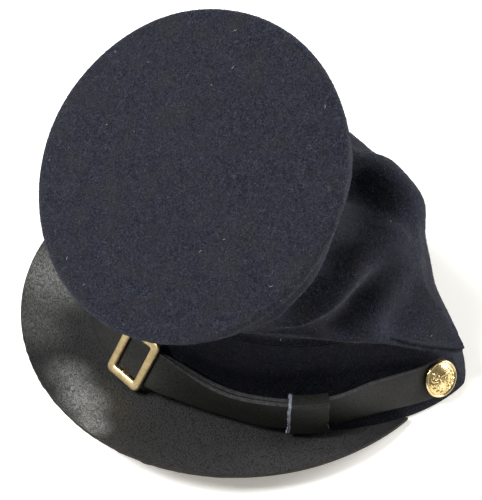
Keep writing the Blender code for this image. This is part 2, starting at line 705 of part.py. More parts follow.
def rest_on_floor(cap):
    """Moves the cap so that the origin is in the middle of its bounding box, at the floor."""
    bpy.context.view_layer.update()
    seen = bpy.context.evaluated_depsgraph_get()
    corners = []
    for part in cap.children:
        if not part.hide_render:
            shape = part.evaluated_get(seen)
            corners += [shape.matrix_world @ vert.co for vert in shape.data.vertices]
    corners = np.array(corners)
    low, high = corners.min(axis=0), corners.max(axis=0)
    cap.location = (-(low[0] + high[0]) / 2, -(low[1] + high[1]) / 2, -low[2])
    bpy.context.view_layer.update()


def main():
    for old in list(bpy.data.objects):
        bpy.data.objects.remove(old)
    wool = material("wool", (0.027, 0.028, 0.040), 0.95)
    leather = material("leather", (0.02, 0.021, 0.021), 0.5)
    brass = material("brass", (0.60, 0.44, 0.20), 0.35, 1.0)
    gilt = material("gilt", (0.80, 0.60, 0.28), 0.25, 1.0)
    cap = bpy.data.objects.new("cap", None)
    bpy.context.scene.collection.objects.link(cap)
    make_band(wool, cap)
    make_crown(wool, cap)
    make_top(wool, cap)
    make_peak(leather, cap)
    make_straps(leather, cap)
    make_keeper(leather, cap)
    make_buckle(brass, cap)
    make_button("button_left", STRAP_HALF_LENGTH, gilt, cap)
    make_button("button_right", -STRAP_HALF_LENGTH, gilt, cap)
    rest_on_floor(cap)


main()
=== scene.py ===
# %% [markdown]
# # A soft forage cap of dark blue wool
#
# The cap has an upright band, a slack crown that has flopped forward, a flat round top, a leather peak, and
# a chin strap with a brass slide buckle between two gilt buttons. The frame gives each of them as a plain
# solid of the right size. This lesson replaces the solids by finer meshes in the same places, and builds
# each finish from shader nodes.

# %% Load the frame
import math

import bpy
import numpy as np
from mathutils import Matrix, Vector


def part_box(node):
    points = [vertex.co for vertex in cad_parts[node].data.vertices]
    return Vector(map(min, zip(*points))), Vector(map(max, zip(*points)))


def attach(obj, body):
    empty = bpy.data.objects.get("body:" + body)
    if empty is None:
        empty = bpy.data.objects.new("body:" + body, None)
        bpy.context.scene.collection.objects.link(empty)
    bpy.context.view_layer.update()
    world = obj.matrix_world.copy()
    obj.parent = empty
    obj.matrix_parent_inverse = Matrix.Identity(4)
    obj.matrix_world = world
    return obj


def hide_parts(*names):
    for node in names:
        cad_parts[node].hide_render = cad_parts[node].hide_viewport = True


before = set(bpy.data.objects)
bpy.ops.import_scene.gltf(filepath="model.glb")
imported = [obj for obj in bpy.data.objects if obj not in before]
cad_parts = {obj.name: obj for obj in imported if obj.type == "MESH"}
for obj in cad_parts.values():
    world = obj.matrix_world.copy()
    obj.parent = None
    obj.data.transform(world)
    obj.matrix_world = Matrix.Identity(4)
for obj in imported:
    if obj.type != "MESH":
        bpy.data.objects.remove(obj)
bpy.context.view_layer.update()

# %% [markdown]
# ## Where the cap lies
#
# Every shape below is worked out in the cap's own frame: the middle of the head at the hem is its origin, the
# peak points along -Y and the wearer's left is +X. A place round the cap is an angle: 0 is the crease at the
# wearer's left, 90 the back, 180 the crease at the right and 270 the front. The frame has the cap moved so
# that its box is centred, and the band's box tells by how much.

# %% The hem and the place of the cap
HEM_HALF_WIDTH = 0.102
HEM_FRONT_REACH = 0.085
HEM_BACK_REACH = 0.050
HEM_FRONT_POINT = 1.2
HEM_BACK_POINT = 1.5
BAND_HEIGHT = 0.038
BAND_WALL = 0.003
FRONT_LEAN = 20
SIDE_LEAN = 32
BACK_LEAN = 25
SEAM_GAP = 0.0003

band_low, band_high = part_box("band")
SHIFT = np.array([(band_low[0] + band_high[0]) / 2, band_high[1] - HEM_BACK_REACH, band_low[2]])
print("the cap's own frame is moved by", (SHIFT * 1000).round(2), "mm")

# %% [markdown]
# ## Camera, floor and light
#
# The camera looks down at the cap from in front and to its left. A long lens keeps the flat top nearly
# a true ellipse. The floor is a plain white sheet that glows a little, so that its shadows stay pale.
# One soft box stands high in front and throws the top's shadow into the folds beside it. A second one
# stands low behind the cap and lights the outer side of the crown, and a white world fills the rest.

# %% Camera
CAMERA_AZIMUTH = math.radians(40)
CAMERA_ELEVATION = math.radians(50)
CAMERA_DISTANCE = 0.6
CAMERA_LENS = 94
AIM_RIGHT = -0.0175
AIM_UP = 0.0077

right = Vector((math.cos(CAMERA_AZIMUTH), math.sin(CAMERA_AZIMUTH), 0))
back = Vector((
    math.sin(CAMERA_AZIMUTH) * math.cos(CAMERA_ELEVATION),
    -math.cos(CAMERA_AZIMUTH) * math.cos(CAMERA_ELEVATION),
    math.sin(CAMERA_ELEVATION),
))
up = back.cross(right)
camera_data = bpy.data.cameras.new("camera")
camera_data.lens = CAMERA_LENS
camera = bpy.data.objects.new("camera", camera_data)
camera.rotation_euler = Matrix((right, up, back)).transposed().to_euler()
camera.location = Vector(SHIFT) + right * AIM_RIGHT + up * AIM_UP + back * CAMERA_DISTANCE
bpy.context.scene.collection.objects.link(camera)
bpy.context.scene.camera = camera
print("camera at", [round(v, 3) for v in camera.location])

# %% A helper for shader nodes
def node(tree, kind, inputs=(), **settings):
    """Adds a node. Settings are its properties, and inputs are values or sockets for its input sockets."""
    made = tree.nodes.new(kind)
    for name, value in settings.items():
        setattr(made, name, value)
    for name, value in dict(inputs).items():
        if isinstance(value, bpy.types.NodeSocket):
            tree.links.new(value, made.inputs[name])
        else:
            made.inputs[name].default_value = value
    return made


def new_material(name, **constants):
    """A material with constant values set on its shader's sockets. Gives it, its tree and its shader."""
    made = bpy.data.materials.new(name)
    made.use_nodes = True
    shader = made.node_tree.nodes["Principled BSDF"]
    for socket, value in constants.items():
        shader.inputs[socket.replace("_", " ")].default_value = value
    return made, made.node_tree, shader


def link(name, thing):
    """Puts a new object into the scene."""
    made = bpy.data.objects.new(name, thing)
    bpy.context.scene.collection.objects.link(made)
    return made


# %% Floor, lights and world
FLOOR_HALF = 2.0
FLOOR_WHITE = (0.93, 0.925, 0.91, 1)
FLOOR_GLOW = 0.27
FLOOR_GLOW_COLOUR = (1.0, 0.94, 0.84, 1)
WORLD_STRENGTH = 0.28
WORLD_COLOUR = (1.0, 1.0, 0.985, 1)

floor_mesh = bpy.data.meshes.new("floor")
corners = [(x * FLOOR_HALF, y * FLOOR_HALF, 0) for x, y in ((-1, -1), (1, -1), (1, 1), (-1, 1))]
floor_mesh.from_pydata(corners, [], [(0, 1, 2, 3)])
floor = link("floor", floor_mesh)
floor_finish, _, _ = new_material(
    "floor", Base_Color=FLOOR_WHITE, Roughness=0.7, Specular_IOR_Level=0.1,
    Emission_Color=FLOOR_GLOW_COLOUR, Emission_Strength=FLOOR_GLOW,
)
floor_mesh.materials.append(floor_finish)

LIGHTS = (
    ("soft_box_front", (-0.65, -0.65, 1.31), 0.7, 44),
    ("soft_box_behind", (0.75, 1.30, 0.55), 0.8, 32),
)
for name, place, size, power in LIGHTS:
    lamp = bpy.data.lights.new(name, "AREA")
    lamp.size = size
    lamp.energy = power
    lamp_object = link(name, lamp)
    lamp_object.location = place
    lamp_object.rotation_euler = (-Vector(place)).to_track_quat("-Z", "Y").to_euler()

world = bpy.data.worlds.new("world")
world.use_nodes = True
background = world.node_tree.nodes["Background"]
background.inputs["Color"].default_value = WORLD_COLOUR
background.inputs["Strength"].default_value = WORLD_STRENGTH
bpy.context.scene.world = world
bpy.context.scene.view_settings.view_transform = "Standard"
print("lights:", [name for name, *_ in LIGHTS])

# %% [markdown]
# ## Effects that several finishes share
#
# Wool cloth that has been fulled shows no weave, only a felt of fine hairs with darker and lighter clouds.
# Leather shows small rounded pebbles with creases between them. Both are node groups, so that each material
# can place them at its own scale. A group puts out masks and a height, and the material turns them into
# colour, roughness and bump.

# %% Node groups for nap and grain
CLOUD_RISE = 0.4
PEBBLE_RISE = 0.8


def new_group(name, inputs, outputs):
    """An empty shader node group with float inputs (name, default) and float outputs."""
    tree = bpy.data.node_groups.new(name, "ShaderNodeTree")
    for socket, default in inputs:
        made = tree.interface.new_socket(socket, in_out="INPUT", socket_type="NodeSocketFloat")
        made.default_value = default
    for socket in outputs:
        tree.interface.new_socket(socket, in_out="OUTPUT", socket_type="NodeSocketFloat")
    return tree, tree.nodes.new("NodeGroupInput").outputs, tree.nodes.new("NodeGroupOutput").inputs


def maths(tree, operation, a, b):
    """A Math node's result."""
    return node(tree, "ShaderNodeMath", {0: a, 1: b}, operation=operation).outputs[0]


def per_metre(tree, size):
    """The texture scale that makes features of a size in millimetres."""
    return maths(tree, "DIVIDE", 1000.0, size)


def noise(tree, where, size, **settings):
    """Noise whose features have a size in millimetres."""
    inputs = {"Vector": where, "Scale": per_metre(tree, size), **settings}
    return node(tree, "ShaderNodeTexNoise", inputs).outputs["Fac"]


def build_nap():
    """Felt of fine hairs with darker and lighter clouds in it."""
    inputs = (("Hair mm", 0.4), ("Cloud mm", 6.0))
    tree, given, result = new_group("wool nap", inputs, ("Hair", "Cloud", "Height"))
    where = node(tree, "ShaderNodeTexCoord").outputs["Object"]
    hair = noise(tree, where, given["Hair mm"], Detail=4.0, Roughness=0.7, Distortion=1.2)
    cloud = noise(tree, where, given["Cloud mm"], Detail=5.0, Roughness=0.6)
    tree.links.new(hair, result["Hair"])
    tree.links.new(cloud, result["Cloud"])
    tree.links.new(maths(tree, "ADD", hair, maths(tree, "MULTIPLY", cloud, CLOUD_RISE)), result["Height"])
    return tree


def build_grain():
    """Rounded pebbles with creases between them, and broad patches."""
    inputs = (("Pebble mm", 0.6), ("Patch mm", 14.0))
    tree, given, result = new_group("leather grain", inputs, ("Pebble", "Patch", "Height"))
    where = node(tree, "ShaderNodeTexCoord").outputs["Object"]
    pebble = node(tree, "ShaderNodeTexVoronoi", {
        "Vector": where, "Scale": per_metre(tree, given["Pebble mm"]), "Randomness": 1.0, "Smoothness": 0.6,
    }, feature="SMOOTH_F1").outputs["Distance"]
    crease = noise(tree, where, given["Pebble mm"], Detail=4.0, Roughness=0.65, Distortion=0.6)
    patch = noise(tree, where, given["Patch mm"], Detail=3.0, Roughness=0.5)
    tree.links.new(pebble, result["Pebble"])
    tree.links.new(patch, result["Patch"])
    height = maths(tree, "SUBTRACT", crease, maths(tree, "MULTIPLY", pebble, PEBBLE_RISE))
    tree.links.new(height, result["Height"])
    return tree


nap_group = build_nap()
grain_group = build_grain()


def place_group(tree, group, **values):
    """Places a node group in a material and gives its outputs."""
    made = node(tree, "ShaderNodeGroup", node_tree=group)
    for name, value in values.items():
        made.inputs[name.replace("_", " ")].default_value = value
    return made.outputs


def blend_colours(tree, share, low, high):
    """Colour between two by a share."""
    mixed = node(tree, "ShaderNodeMix", {"Factor": share}, data_type="RGBA")
    for socket, value in ((mixed.inputs[6], low), (mixed.inputs[7], high)):
        if isinstance(value, bpy.types.NodeSocket):
            tree.links.new(value, socket)
        else:
            socket.default_value = (*value, 1)
    return mixed.outputs[2]


def between(tree, value, low, high, to_low=0.0, to_high=1.0):
    """A value stretched from one range to another and kept inside it."""
    return node(tree, "ShaderNodeMapRange", {
        "Value": value, "From Min": low, "From Max": high, "To Min": to_low, "To Max": to_high,
    }).outputs["Result"]


def raise_surface(tree, shader, height, distance, strength=1.0):
    """Feeds a height into the shader's normal through a bump node."""
    bump = node(tree, "ShaderNodeBump", {"Height": height, "Distance": distance, "Strength": strength})
    tree.links.new(bump.outputs["Normal"], shader.inputs["Normal"])


print("node groups:", nap_group.name, "and", grain_group.name)

# %% [markdown]
# ## Finishes
#
# The wool is close to black with a blue cast. Its hairs stand up and catch light at a flat angle, which the
# shader's sheen does. The leather is dyed black and burnished, so it has almost no colour of its own: what
# shows is the broad soft reflection, broken up by the grain. On the peak a painted highlight lightens a few
# soft spots where the satin reflection of the lamp falls. An image could hold them, but a short table of
# round spots needs no file. Cut edges show raw fibre. Brass and gilt differ in polish.

# %% Wool, its loose hairs and lint
NAP_RANGE = (0.42, 0.62)
NAP_RELIEF = 0.0004
CLOUD_RANGE = (0.38, 0.68)
CLOUD_SHARE = 0.40


def make_wool(name, dark, light, worn, hair_mm):
    """Wool with a dark ground, lighter hairs and worn clouds."""
    finish, tree, shader = new_material(
        name, Roughness=0.95, Specular_IOR_Level=0.1, Sheen_Weight=0.04, Sheen_Roughness=0.6,
        Sheen_Tint=(0.72, 0.78, 1.0, 1),
    )
    nap = place_group(tree, nap_group, Hair_mm=hair_mm, Cloud_mm=11.0)
    felt = blend_colours(tree, between(tree, nap["Hair"], *NAP_RANGE), dark, light)
    cloudy = blend_colours(tree, between(tree, nap["Cloud"], *CLOUD_RANGE, 0.0, CLOUD_SHARE), felt, worn)
    tree.links.new(cloudy, shader.inputs["Base Color"])
    raise_surface(tree, shader, nap["Height"], NAP_RELIEF, strength=0.8)
    return finish


wool = make_wool(
    "wool", dark=(0.002, 0.0025, 0.004), light=(0.028, 0.030, 0.047), worn=(0.021, 0.0185, 0.017),
    hair_mm=0.7,
)
hair_wool = make_wool(
    "wool_hair", dark=(0.008, 0.009, 0.015), light=(0.145, 0.15, 0.205), worn=(0.105, 0.093, 0.088),
    hair_mm=3.0,
)
lint_finish, _, _ = new_material("lint", Base_Color=(0.45, 0.47, 0.52, 1), Roughness=0.9)


# %% Leather and its cut edges
PEBBLE_RANGE = (0.2, 0.8)
PATCH_RANGE = (0.35, 0.65)
SPECKLE_RANGE = (0.42, 0.60)
SPECKLE_SHARES = (0.30, 1.4)
FIBRE_RANGE = (0.35, 0.65)
FIBRE_RELIEF = 0.0004
# Painted highlight on the peak: a pale colour in soft round spots that stands in for the satin reflection of
# the lamp.
PAINTED_HIGHLIGHT_COLOUR = (0.24, 0.24, 0.23)
PAINTED_HIGHLIGHT_SPOTS = (
    ((-0.074, -0.036, 0.008), 0.030, 0.85),
    ((-0.056, -0.062, 0.011), 0.022, 0.30),
    ((-0.025, -0.071, 0.010), 0.015, 0.60),
    ((-0.011, -0.077, 0.011), 0.015, 1.00),
    ((0.001, -0.084, 0.013), 0.011, 0.90),
)


def painted_highlight_share(tree, speckle):
    """Share of painted highlight on the leather: soft spots (place in the frame, radius, share) that stand in
    for the satin reflection, broken up by a speckle.
    """
    where = node(tree, "ShaderNodeTexCoord").outputs["Object"]
    share = 0.0
    for spot, radius, most in PAINTED_HIGHLIGHT_SPOTS:
        away = node(tree, "ShaderNodeVectorMath", {0: where, 1: spot}, operation="DISTANCE")
        fading = node(tree, "ShaderNodeMapRange", {
            "Value": away.outputs["Value"], "From Min": radius, "From Max": 0.0, "To Max": most,
        }, interpolation_type="SMOOTHSTEP").outputs["Result"]
        share = maths(tree, "ADD", share, fading)
    return maths(tree, "MULTIPLY", share, between(tree, speckle, *SPECKLE_RANGE, *SPECKLE_SHARES))


def make_leather(name, dark, light, shine, rough, pebble_mm, relief, painted_highlight=False):
    """Dyed leather, lighter on its pebbles, whose roughness runs between two values in broad patches."""
    finish, tree, shader = new_material(name, Specular_IOR_Level=shine)
    grain = place_group(tree, grain_group, Pebble_mm=pebble_mm, Patch_mm=16.0)
    colour = blend_colours(tree, between(tree, grain["Pebble"], *PEBBLE_RANGE), light, dark)
    # Painted highlight: pale soft spots stand in for the satin reflection on the peak.
    if painted_highlight:
        speckle = place_group(tree, nap_group, Hair_mm=1.2, Cloud_mm=5.0)["Hair"]
        colour = blend_colours(tree, painted_highlight_share(tree, speckle), colour, PAINTED_HIGHLIGHT_COLOUR)
    tree.links.new(colour, shader.inputs["Base Color"])
    tree.links.new(between(tree, grain["Patch"], *PATCH_RANGE, *rough), shader.inputs["Roughness"])
    raise_surface(tree, shader, grain["Height"], relief)
    return finish


# The peak's leather carries the painted highlight spots.
leather = make_leather(
    "leather", dark=(0.006, 0.006, 0.006), light=(0.034, 0.035, 0.034), shine=0.35, rough=(0.42, 0.52),
    pebble_mm=0.6, relief=0.00026, painted_highlight=True,
)
strap_leather = make_leather(
    "strap_leather", dark=(0.004, 0.004, 0.0035), light=(0.018, 0.018, 0.016), shine=0.25, rough=(0.5, 0.6),
    pebble_mm=0.6, relief=0.00010,
)


def make_raw_edge(name, dark, light, fibre_mm):
    """Cut leather: matt, fibrous and a little paler than the dyed face."""
    finish, tree, shader = new_material(name, Roughness=0.9, Specular_IOR_Level=0.2)
    nap = place_group(tree, nap_group, Hair_mm=fibre_mm, Cloud_mm=3.0)
    fibres = blend_colours(tree, between(tree, nap["Hair"], *FIBRE_RANGE), dark, light)
    tree.links.new(fibres, shader.inputs["Base Color"])
    raise_surface(tree, shader, nap["Height"], FIBRE_RELIEF)
    return finish


raw_edge = make_raw_edge("raw_edge", dark=(0.008, 0.007, 0.006), light=(0.040, 0.034, 0.028), fibre_mm=0.5)
worn_edge = make_raw_edge("worn_edge", dark=(0.015, 0.015, 0.016), light=(0.09, 0.09, 0.094), fibre_mm=0.9)
frayed_edge = make_raw_edge("frayed_edge", dark=(0.10, 0.11, 0.14), light=(0.36, 0.38, 0.46), fibre_mm=0.5)


# %% Brass and gilt
TARNISH_RANGE = (0.35, 0.7)
SCRATCH_RANGE = (0.3, 0.7)


def make_metal(name, dark, light, rough, scratch_mm, relief):
    """Metal with fine scratches and a thin uneven tarnish."""
    finish, tree, shader = new_material(name, Metallic=1.0)
    nap = place_group(tree, nap_group, Hair_mm=scratch_mm, Cloud_mm=2.5)
    tarnish = between(tree, nap["Cloud"], *TARNISH_RANGE)
    tree.links.new(blend_colours(tree, tarnish, light, dark), shader.inputs["Base Color"])
    tree.links.new(between(tree, nap["Hair"], *SCRATCH_RANGE, *rough), shader.inputs["Roughness"])
    raise_surface(tree, shader, nap["Hair"], relief)
    return finish


brass = make_metal(
    "brass", dark=(0.64, 0.48, 0.23), light=(0.88, 0.70, 0.39), rough=(0.30, 0.48), scratch_mm=0.25,
    relief=0.00002,
)
gilt = make_metal(
    "gilt", dark=(0.52, 0.37, 0.15), light=(0.78, 0.61, 0.31), rough=(0.14, 0.28), scratch_mm=0.4,
    relief=0.00001,
)
print("finishes:", sorted(made.name for made in bpy.data.materials if made.users))

# %% [markdown]
# ## Curves through short tables
#
# The cap's plan, its crown and its strap are all described by a few numbers at a few places. Smooth curves
# run through them. One helper reads them all, and a second one joins up where a table goes round the cap.

# %% Curves, the hem's plan and the band's face
RIPPLE_SPREAD = (0.6, 1.3)


def column(table, names, name):
    """One named column of a table, as an array."""
    return np.array([row[names.index(name)] for row in table], float)


def curve(t, step, start, end, start_slope, end_slope):
    """Value at a share t of a step, on a smooth curve with given values and slopes at its ends."""
    return (
        (1 + 2 * t) * (1 - t) ** 2 * start
        + t * (1 - t) ** 2 * step * start_slope
        + t * t * (3 - 2 * t) * end
        - t * t * (1 - t) * step * end_slope
    )


def spread(x, places, values):
    """Smooth curve through a short table of places and values, flat beyond its ends."""
    x = np.clip(np.asarray(x, float), places[0], places[-1])
    slopes = np.gradient(values, places)
    i = np.clip(np.searchsorted(places, x, side="right") - 1, 0, len(places) - 2)
    step = places[i + 1] - places[i]
    return curve((x - places[i]) / step, step, values[i], values[i + 1], slopes[i], slopes[i + 1])


def spread_round(place, places, values):
    """The same for a table of places round the cap."""
    places = np.concatenate([places[-2:] - 360, places, places[:2] + 360])
    values = np.concatenate([values[-2:], values, values[:2]])
    return spread(np.mod(place, 360), places, values)


def eased(share):
    """Smooth step from 0 to 1."""
    share = np.clip(share, 0, 1)
    return share * share * (3 - 2 * share)


def unit(vectors):
    """The same directions with a length of 1."""
    return vectors / np.linalg.norm(vectors, axis=-1, keepdims=True)


def lean(place):
    """Angle in degrees by which the band leans inwards at a place round the cap."""
    sine = np.sin(np.radians(place))
    ahead = np.clip(-sine, 0, 1) ** 2
    behind = np.clip(sine, 0, 1) ** 2
    return SIDE_LEAN + (FRONT_LEAN - SIDE_LEAN) * ahead + (BACK_LEAN - SIDE_LEAN) * behind


def outline(place, inset):
    """Plan of the hem at a place round the cap, drawn in by inset."""
    angle = np.radians(place)
    sine = np.sin(angle)
    ahead = sine < 0
    reach = np.where(ahead, HEM_FRONT_REACH, HEM_BACK_REACH) - inset
    point = np.where(ahead, HEM_FRONT_POINT, HEM_BACK_POINT)
    return (HEM_HALF_WIDTH - inset) * np.cos(angle), reach * np.sign(sine) * np.abs(sine) ** point


def band_point(place, height, out=0.0):
    """Point on the band's outer face at a height above the floor, moved outwards by out."""
    place, height, out = np.broadcast_arrays(*(np.asarray(v, float) for v in (place, height, out)))
    x, y = outline(place, height * np.tan(np.radians(lean(place))) - out)
    return np.stack([x, y, height], axis=-1)


def ripple(points, size, seed, waves=20):
    """Smooth random height at points, about -1 to 1, whose bumps are about a size across."""
    chance = np.random.default_rng(seed)
    ways = unit(chance.normal(size=(waves, 3))) * (math.pi / size)
    ways = ways * chance.uniform(*RIPPLE_SPREAD, (waves, 1))
    phases = chance.uniform(0, 2 * math.pi, waves)
    return np.cos(points @ ways.T + phases).sum(axis=-1) / math.sqrt(waves / 2) / 2


# %% [markdown]
# ## Meshes from loops of points
#
# Cloth and leather here are closed solids: an outer skin, an inner skin and rounded edges. The simplest way
# to get all three is to list the points round one section and carry the section along. Each helper turns a
# grid of points into faces, and every piece then rides on the one body and stands for its plain solid.

# %% Mesh helpers
def grid_faces(rows, columns, rows_round, columns_round):
    """Quads of a grid of points, which may join up with itself either way."""
    r = np.arange(rows if rows_round else rows - 1)[:, None]
    c = np.arange(columns if columns_round else columns - 1)[None, :]
    below, beside = (r + 1) % rows, (c + 1) % columns
    corners = (r * columns + c, r * columns + beside, below * columns + beside, below * columns + c)
    return np.stack(np.broadcast_arrays(*corners), axis=-1).reshape(-1, 4).tolist()


def make_piece(name, points, faces, finishes, solids=(), sharp=60):
    """A smooth mesh in the cap's own frame that rides on the body and stands for its plain solids.

    Edges sharper than an angle in degrees stay sharp, and 0 keeps none of them.
    """
    mesh = bpy.data.meshes.new(name)
    mesh.from_pydata((np.asarray(points).reshape(-1, 3) + SHIFT).tolist(), [], faces)
    mesh.validate()
    for finish in finishes:
        mesh.materials.append(finish)
    mesh.shade_smooth()
    if sharp:
        mesh.set_sharp_from_angle(angle=math.radians(sharp))
    piece = link(name, mesh)
    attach(piece, "root")
    if solids:
        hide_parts(*solids)
    print(name, "has", len(mesh.polygons), "faces")
    return piece


def make_ring(name, loops, finishes, solids, sharp=60):
    """A solid ring from loops that each go once round the cap and together go round its section."""
    rows, columns = loops.shape[:2]
    return make_piece(name, loops, grid_faces(rows, columns, True, True), finishes, solids, sharp)


def make_bar(name, rings, finishes, solids, sharp):
    """A solid bar from rings of points along it, its ends closed."""
    rows, columns = rings.shape[:2]
    faces = grid_faces(rows, columns, False, True)
    faces += [list(range(columns))[::-1], list(range((rows - 1) * columns, rows * columns))]
    return make_piece(name, rings, faces, finishes, solids, sharp)


def share_finishes(piece, columns, pick):
    """Gives each face of a grid the finish whose number pick works out from its row and column."""
    for i, face in enumerate(piece.data.polygons):
        face.material_index = int(pick(i // columns, i % columns))


def grid_normals(points):
    """Outward normals of a grid that goes round the cap."""
    around = np.roll(points, -1, axis=1) - np.roll(points, 1, axis=1)
    return unit(np.cross(around, np.gradient(points, axis=0)))


# %% [markdown]
# ## The band
#
# The band is a strip of cloth folded over at the hem, so its lower edge is round and its face has the slight
# waves of cloth that has been worn. It leans inwards all round.

# %% Band
COLUMNS = 304
BAND_ROWS = 18
HEM_ROUND_STEPS = 5
BAND_WAVE = 0.0005
BAND_WAVE_SIZE = 0.025

around = np.arange(COLUMNS) * 360 / COLUMNS
heights = np.linspace(BAND_WALL / 2, BAND_HEIGHT, BAND_ROWS)
waves = ripple(band_point(around[None, :], heights[:, None]), BAND_WAVE_SIZE, seed=11) * BAND_WAVE
waves *= np.sin(np.linspace(0, math.pi, BAND_ROWS))[:, None]
band_outside = [band_point(around, height, wave) for height, wave in zip(heights, waves)]
band_inside = [band_point(around, height, wave - BAND_WALL) for height, wave in zip(heights, waves)]
band_loops = band_outside + band_inside[::-1]
for turn in np.linspace(math.pi, 2 * math.pi, HEM_ROUND_STEPS + 2)[1:-1]:
    out = BAND_WALL / 2 * (math.cos(turn) - 1)
    band_loops.append(band_point(around, BAND_WALL / 2 * (1 + math.sin(turn)), out))
band = make_ring("wool_band", np.array(band_loops), [wool], ["band"])

# %% [markdown]
# ## The flat top
#
# The top is a disc of the same cloth over a stiff card, sewn to the crown wall in a turned seam. The seam
# makes a soft round rim about 5 mm deep. A turned profile gives the form, and a very slight ripple keeps it
# from looking machined.

# %% Flat top
TOP_RADIUS = 0.067
TOP_WALL = 0.003
TOP_EDGE = 0.005
TOP_EDGE_ROUND = 0.0024
TOP_DISH = 0.0012
TOP_SIDEWAYS = -0.010
TOP_FORWARD = -0.050
TOP_HEIGHT = 0.097
TOP_TILT_FORWARD = 36
TOP_TILT_SIDE = 3
CLOTH_WALL = 0.0024
CROWN_TUCK = 0.0010
TOP_COLUMNS = 256
TOP_FLAT_RINGS = 46
TOP_FLAT_FROM = 0.02
TOP_FLAT_TO = 0.955
TOP_ROUND_RINGS = 8
TOP_ROUND_FROM = 0.15
TOP_TURNED_IN = 0.002
TOP_UNDER_DISH = 0.7
TOP_WAVE = 0.00035
TOP_WAVE_SIZE = 0.03
TOP_UNEVEN = 0.002
TOP_UNEVEN_SIZE = 0.9
NEVER_ZERO = 1e-9
SEAM_PROFILE = ((1.0, 0.62), (0.996, 0.74), (0.988, 0.82), (0.990, 0.90), (0.982, 1.0))

top_matrix = Matrix.Translation((TOP_SIDEWAYS, TOP_FORWARD, TOP_HEIGHT))
top_matrix = top_matrix @ Matrix.Rotation(math.radians(-TOP_TILT_SIDE), 4, "Y")
top_matrix = np.array(top_matrix @ Matrix.Rotation(math.radians(TOP_TILT_FORWARD), 4, "X"))


def on_top(local):
    """Points of the top's own frame, brought into the cap's."""
    return local @ top_matrix[:3, :3].T + top_matrix[:3, 3]


def turned_points(profile, columns):
    """Grid of points of a profile of (radius, height) turned about Z."""
    profile = np.array(profile)
    turn = np.arange(columns) * 2 * math.pi / columns
    x, y = profile[:, :1] * np.cos(turn), profile[:, :1] * np.sin(turn)
    return np.stack(np.broadcast_arrays(x, y, profile[:, 1:]), axis=-1)


def turned_faces(rows, columns):
    """Faces of a turned solid whose first and last rows are closed by a point each."""
    faces = grid_faces(rows, columns, False, True)
    first, last = rows * columns, rows * columns + 1
    ends = [(c, first, (c + 1) % columns) for c in range(columns)]
    low = (rows - 1) * columns
    ends += [(low + (c + 1) % columns, last, low + c) for c in range(columns)]
    return [face[::-1] for face in faces + ends]


top_profile = []
for radius in np.linspace(TOP_FLAT_FROM, TOP_FLAT_TO, TOP_FLAT_RINGS) * TOP_RADIUS:
    top_profile.append((radius, TOP_DISH * (1 - (radius / TOP_RADIUS) ** 2)))
for turn in np.linspace(TOP_ROUND_FROM, math.pi / 2, TOP_ROUND_RINGS):
    drop = TOP_EDGE_ROUND * (1 - math.cos(turn))
    top_profile.append((TOP_RADIUS - TOP_EDGE_ROUND * (1 - math.sin(turn)), -drop))
top_profile += [(TOP_RADIUS * radius, -TOP_EDGE * depth) for radius, depth in SEAM_PROFILE]
top_inside = TOP_RADIUS - CROWN_TUCK - 2 * CLOTH_WALL
under_middle = TOP_DISH * TOP_UNDER_DISH - TOP_WALL
top_profile += [(top_inside, -TOP_EDGE), (top_inside - TOP_TURNED_IN, -TOP_WALL)]
top_profile.append((TOP_RADIUS / 2, under_middle))
top_points = turned_points(top_profile, TOP_COLUMNS)
top_points[..., 2] += ripple(top_points, TOP_WAVE_SIZE, seed=21) * TOP_WAVE
uneven = ripple(unit(top_points + NEVER_ZERO), TOP_UNEVEN_SIZE, seed=22)
top_points[..., :2] *= 1 + TOP_UNEVEN * uneven[..., None]
top_points = np.concatenate([top_points.reshape(-1, 3), [[0, 0, TOP_DISH], [0, 0, under_middle]]])
top_faces = turned_faces(len(top_profile), TOP_COLUMNS)
flat_top = make_piece("wool_top", on_top(top_points), top_faces, [wool], ["flat_top"], 75)

# %% [markdown]
# ## The crown
#
# The crown is the slack tube of cloth between the band and the top. It is too long for the room it has, so
# it folds out over the band in a lip, swells into a thick roll, and draws in to a neck under the top. Two
# tables say this, in shares of ROLL_REACH: SECTIONS moves the wall at three heights, and FOLDS runs narrow
# ridges and hollows across it. A cloth simulation would find folds of its own, but these have to be the
# photographed ones.

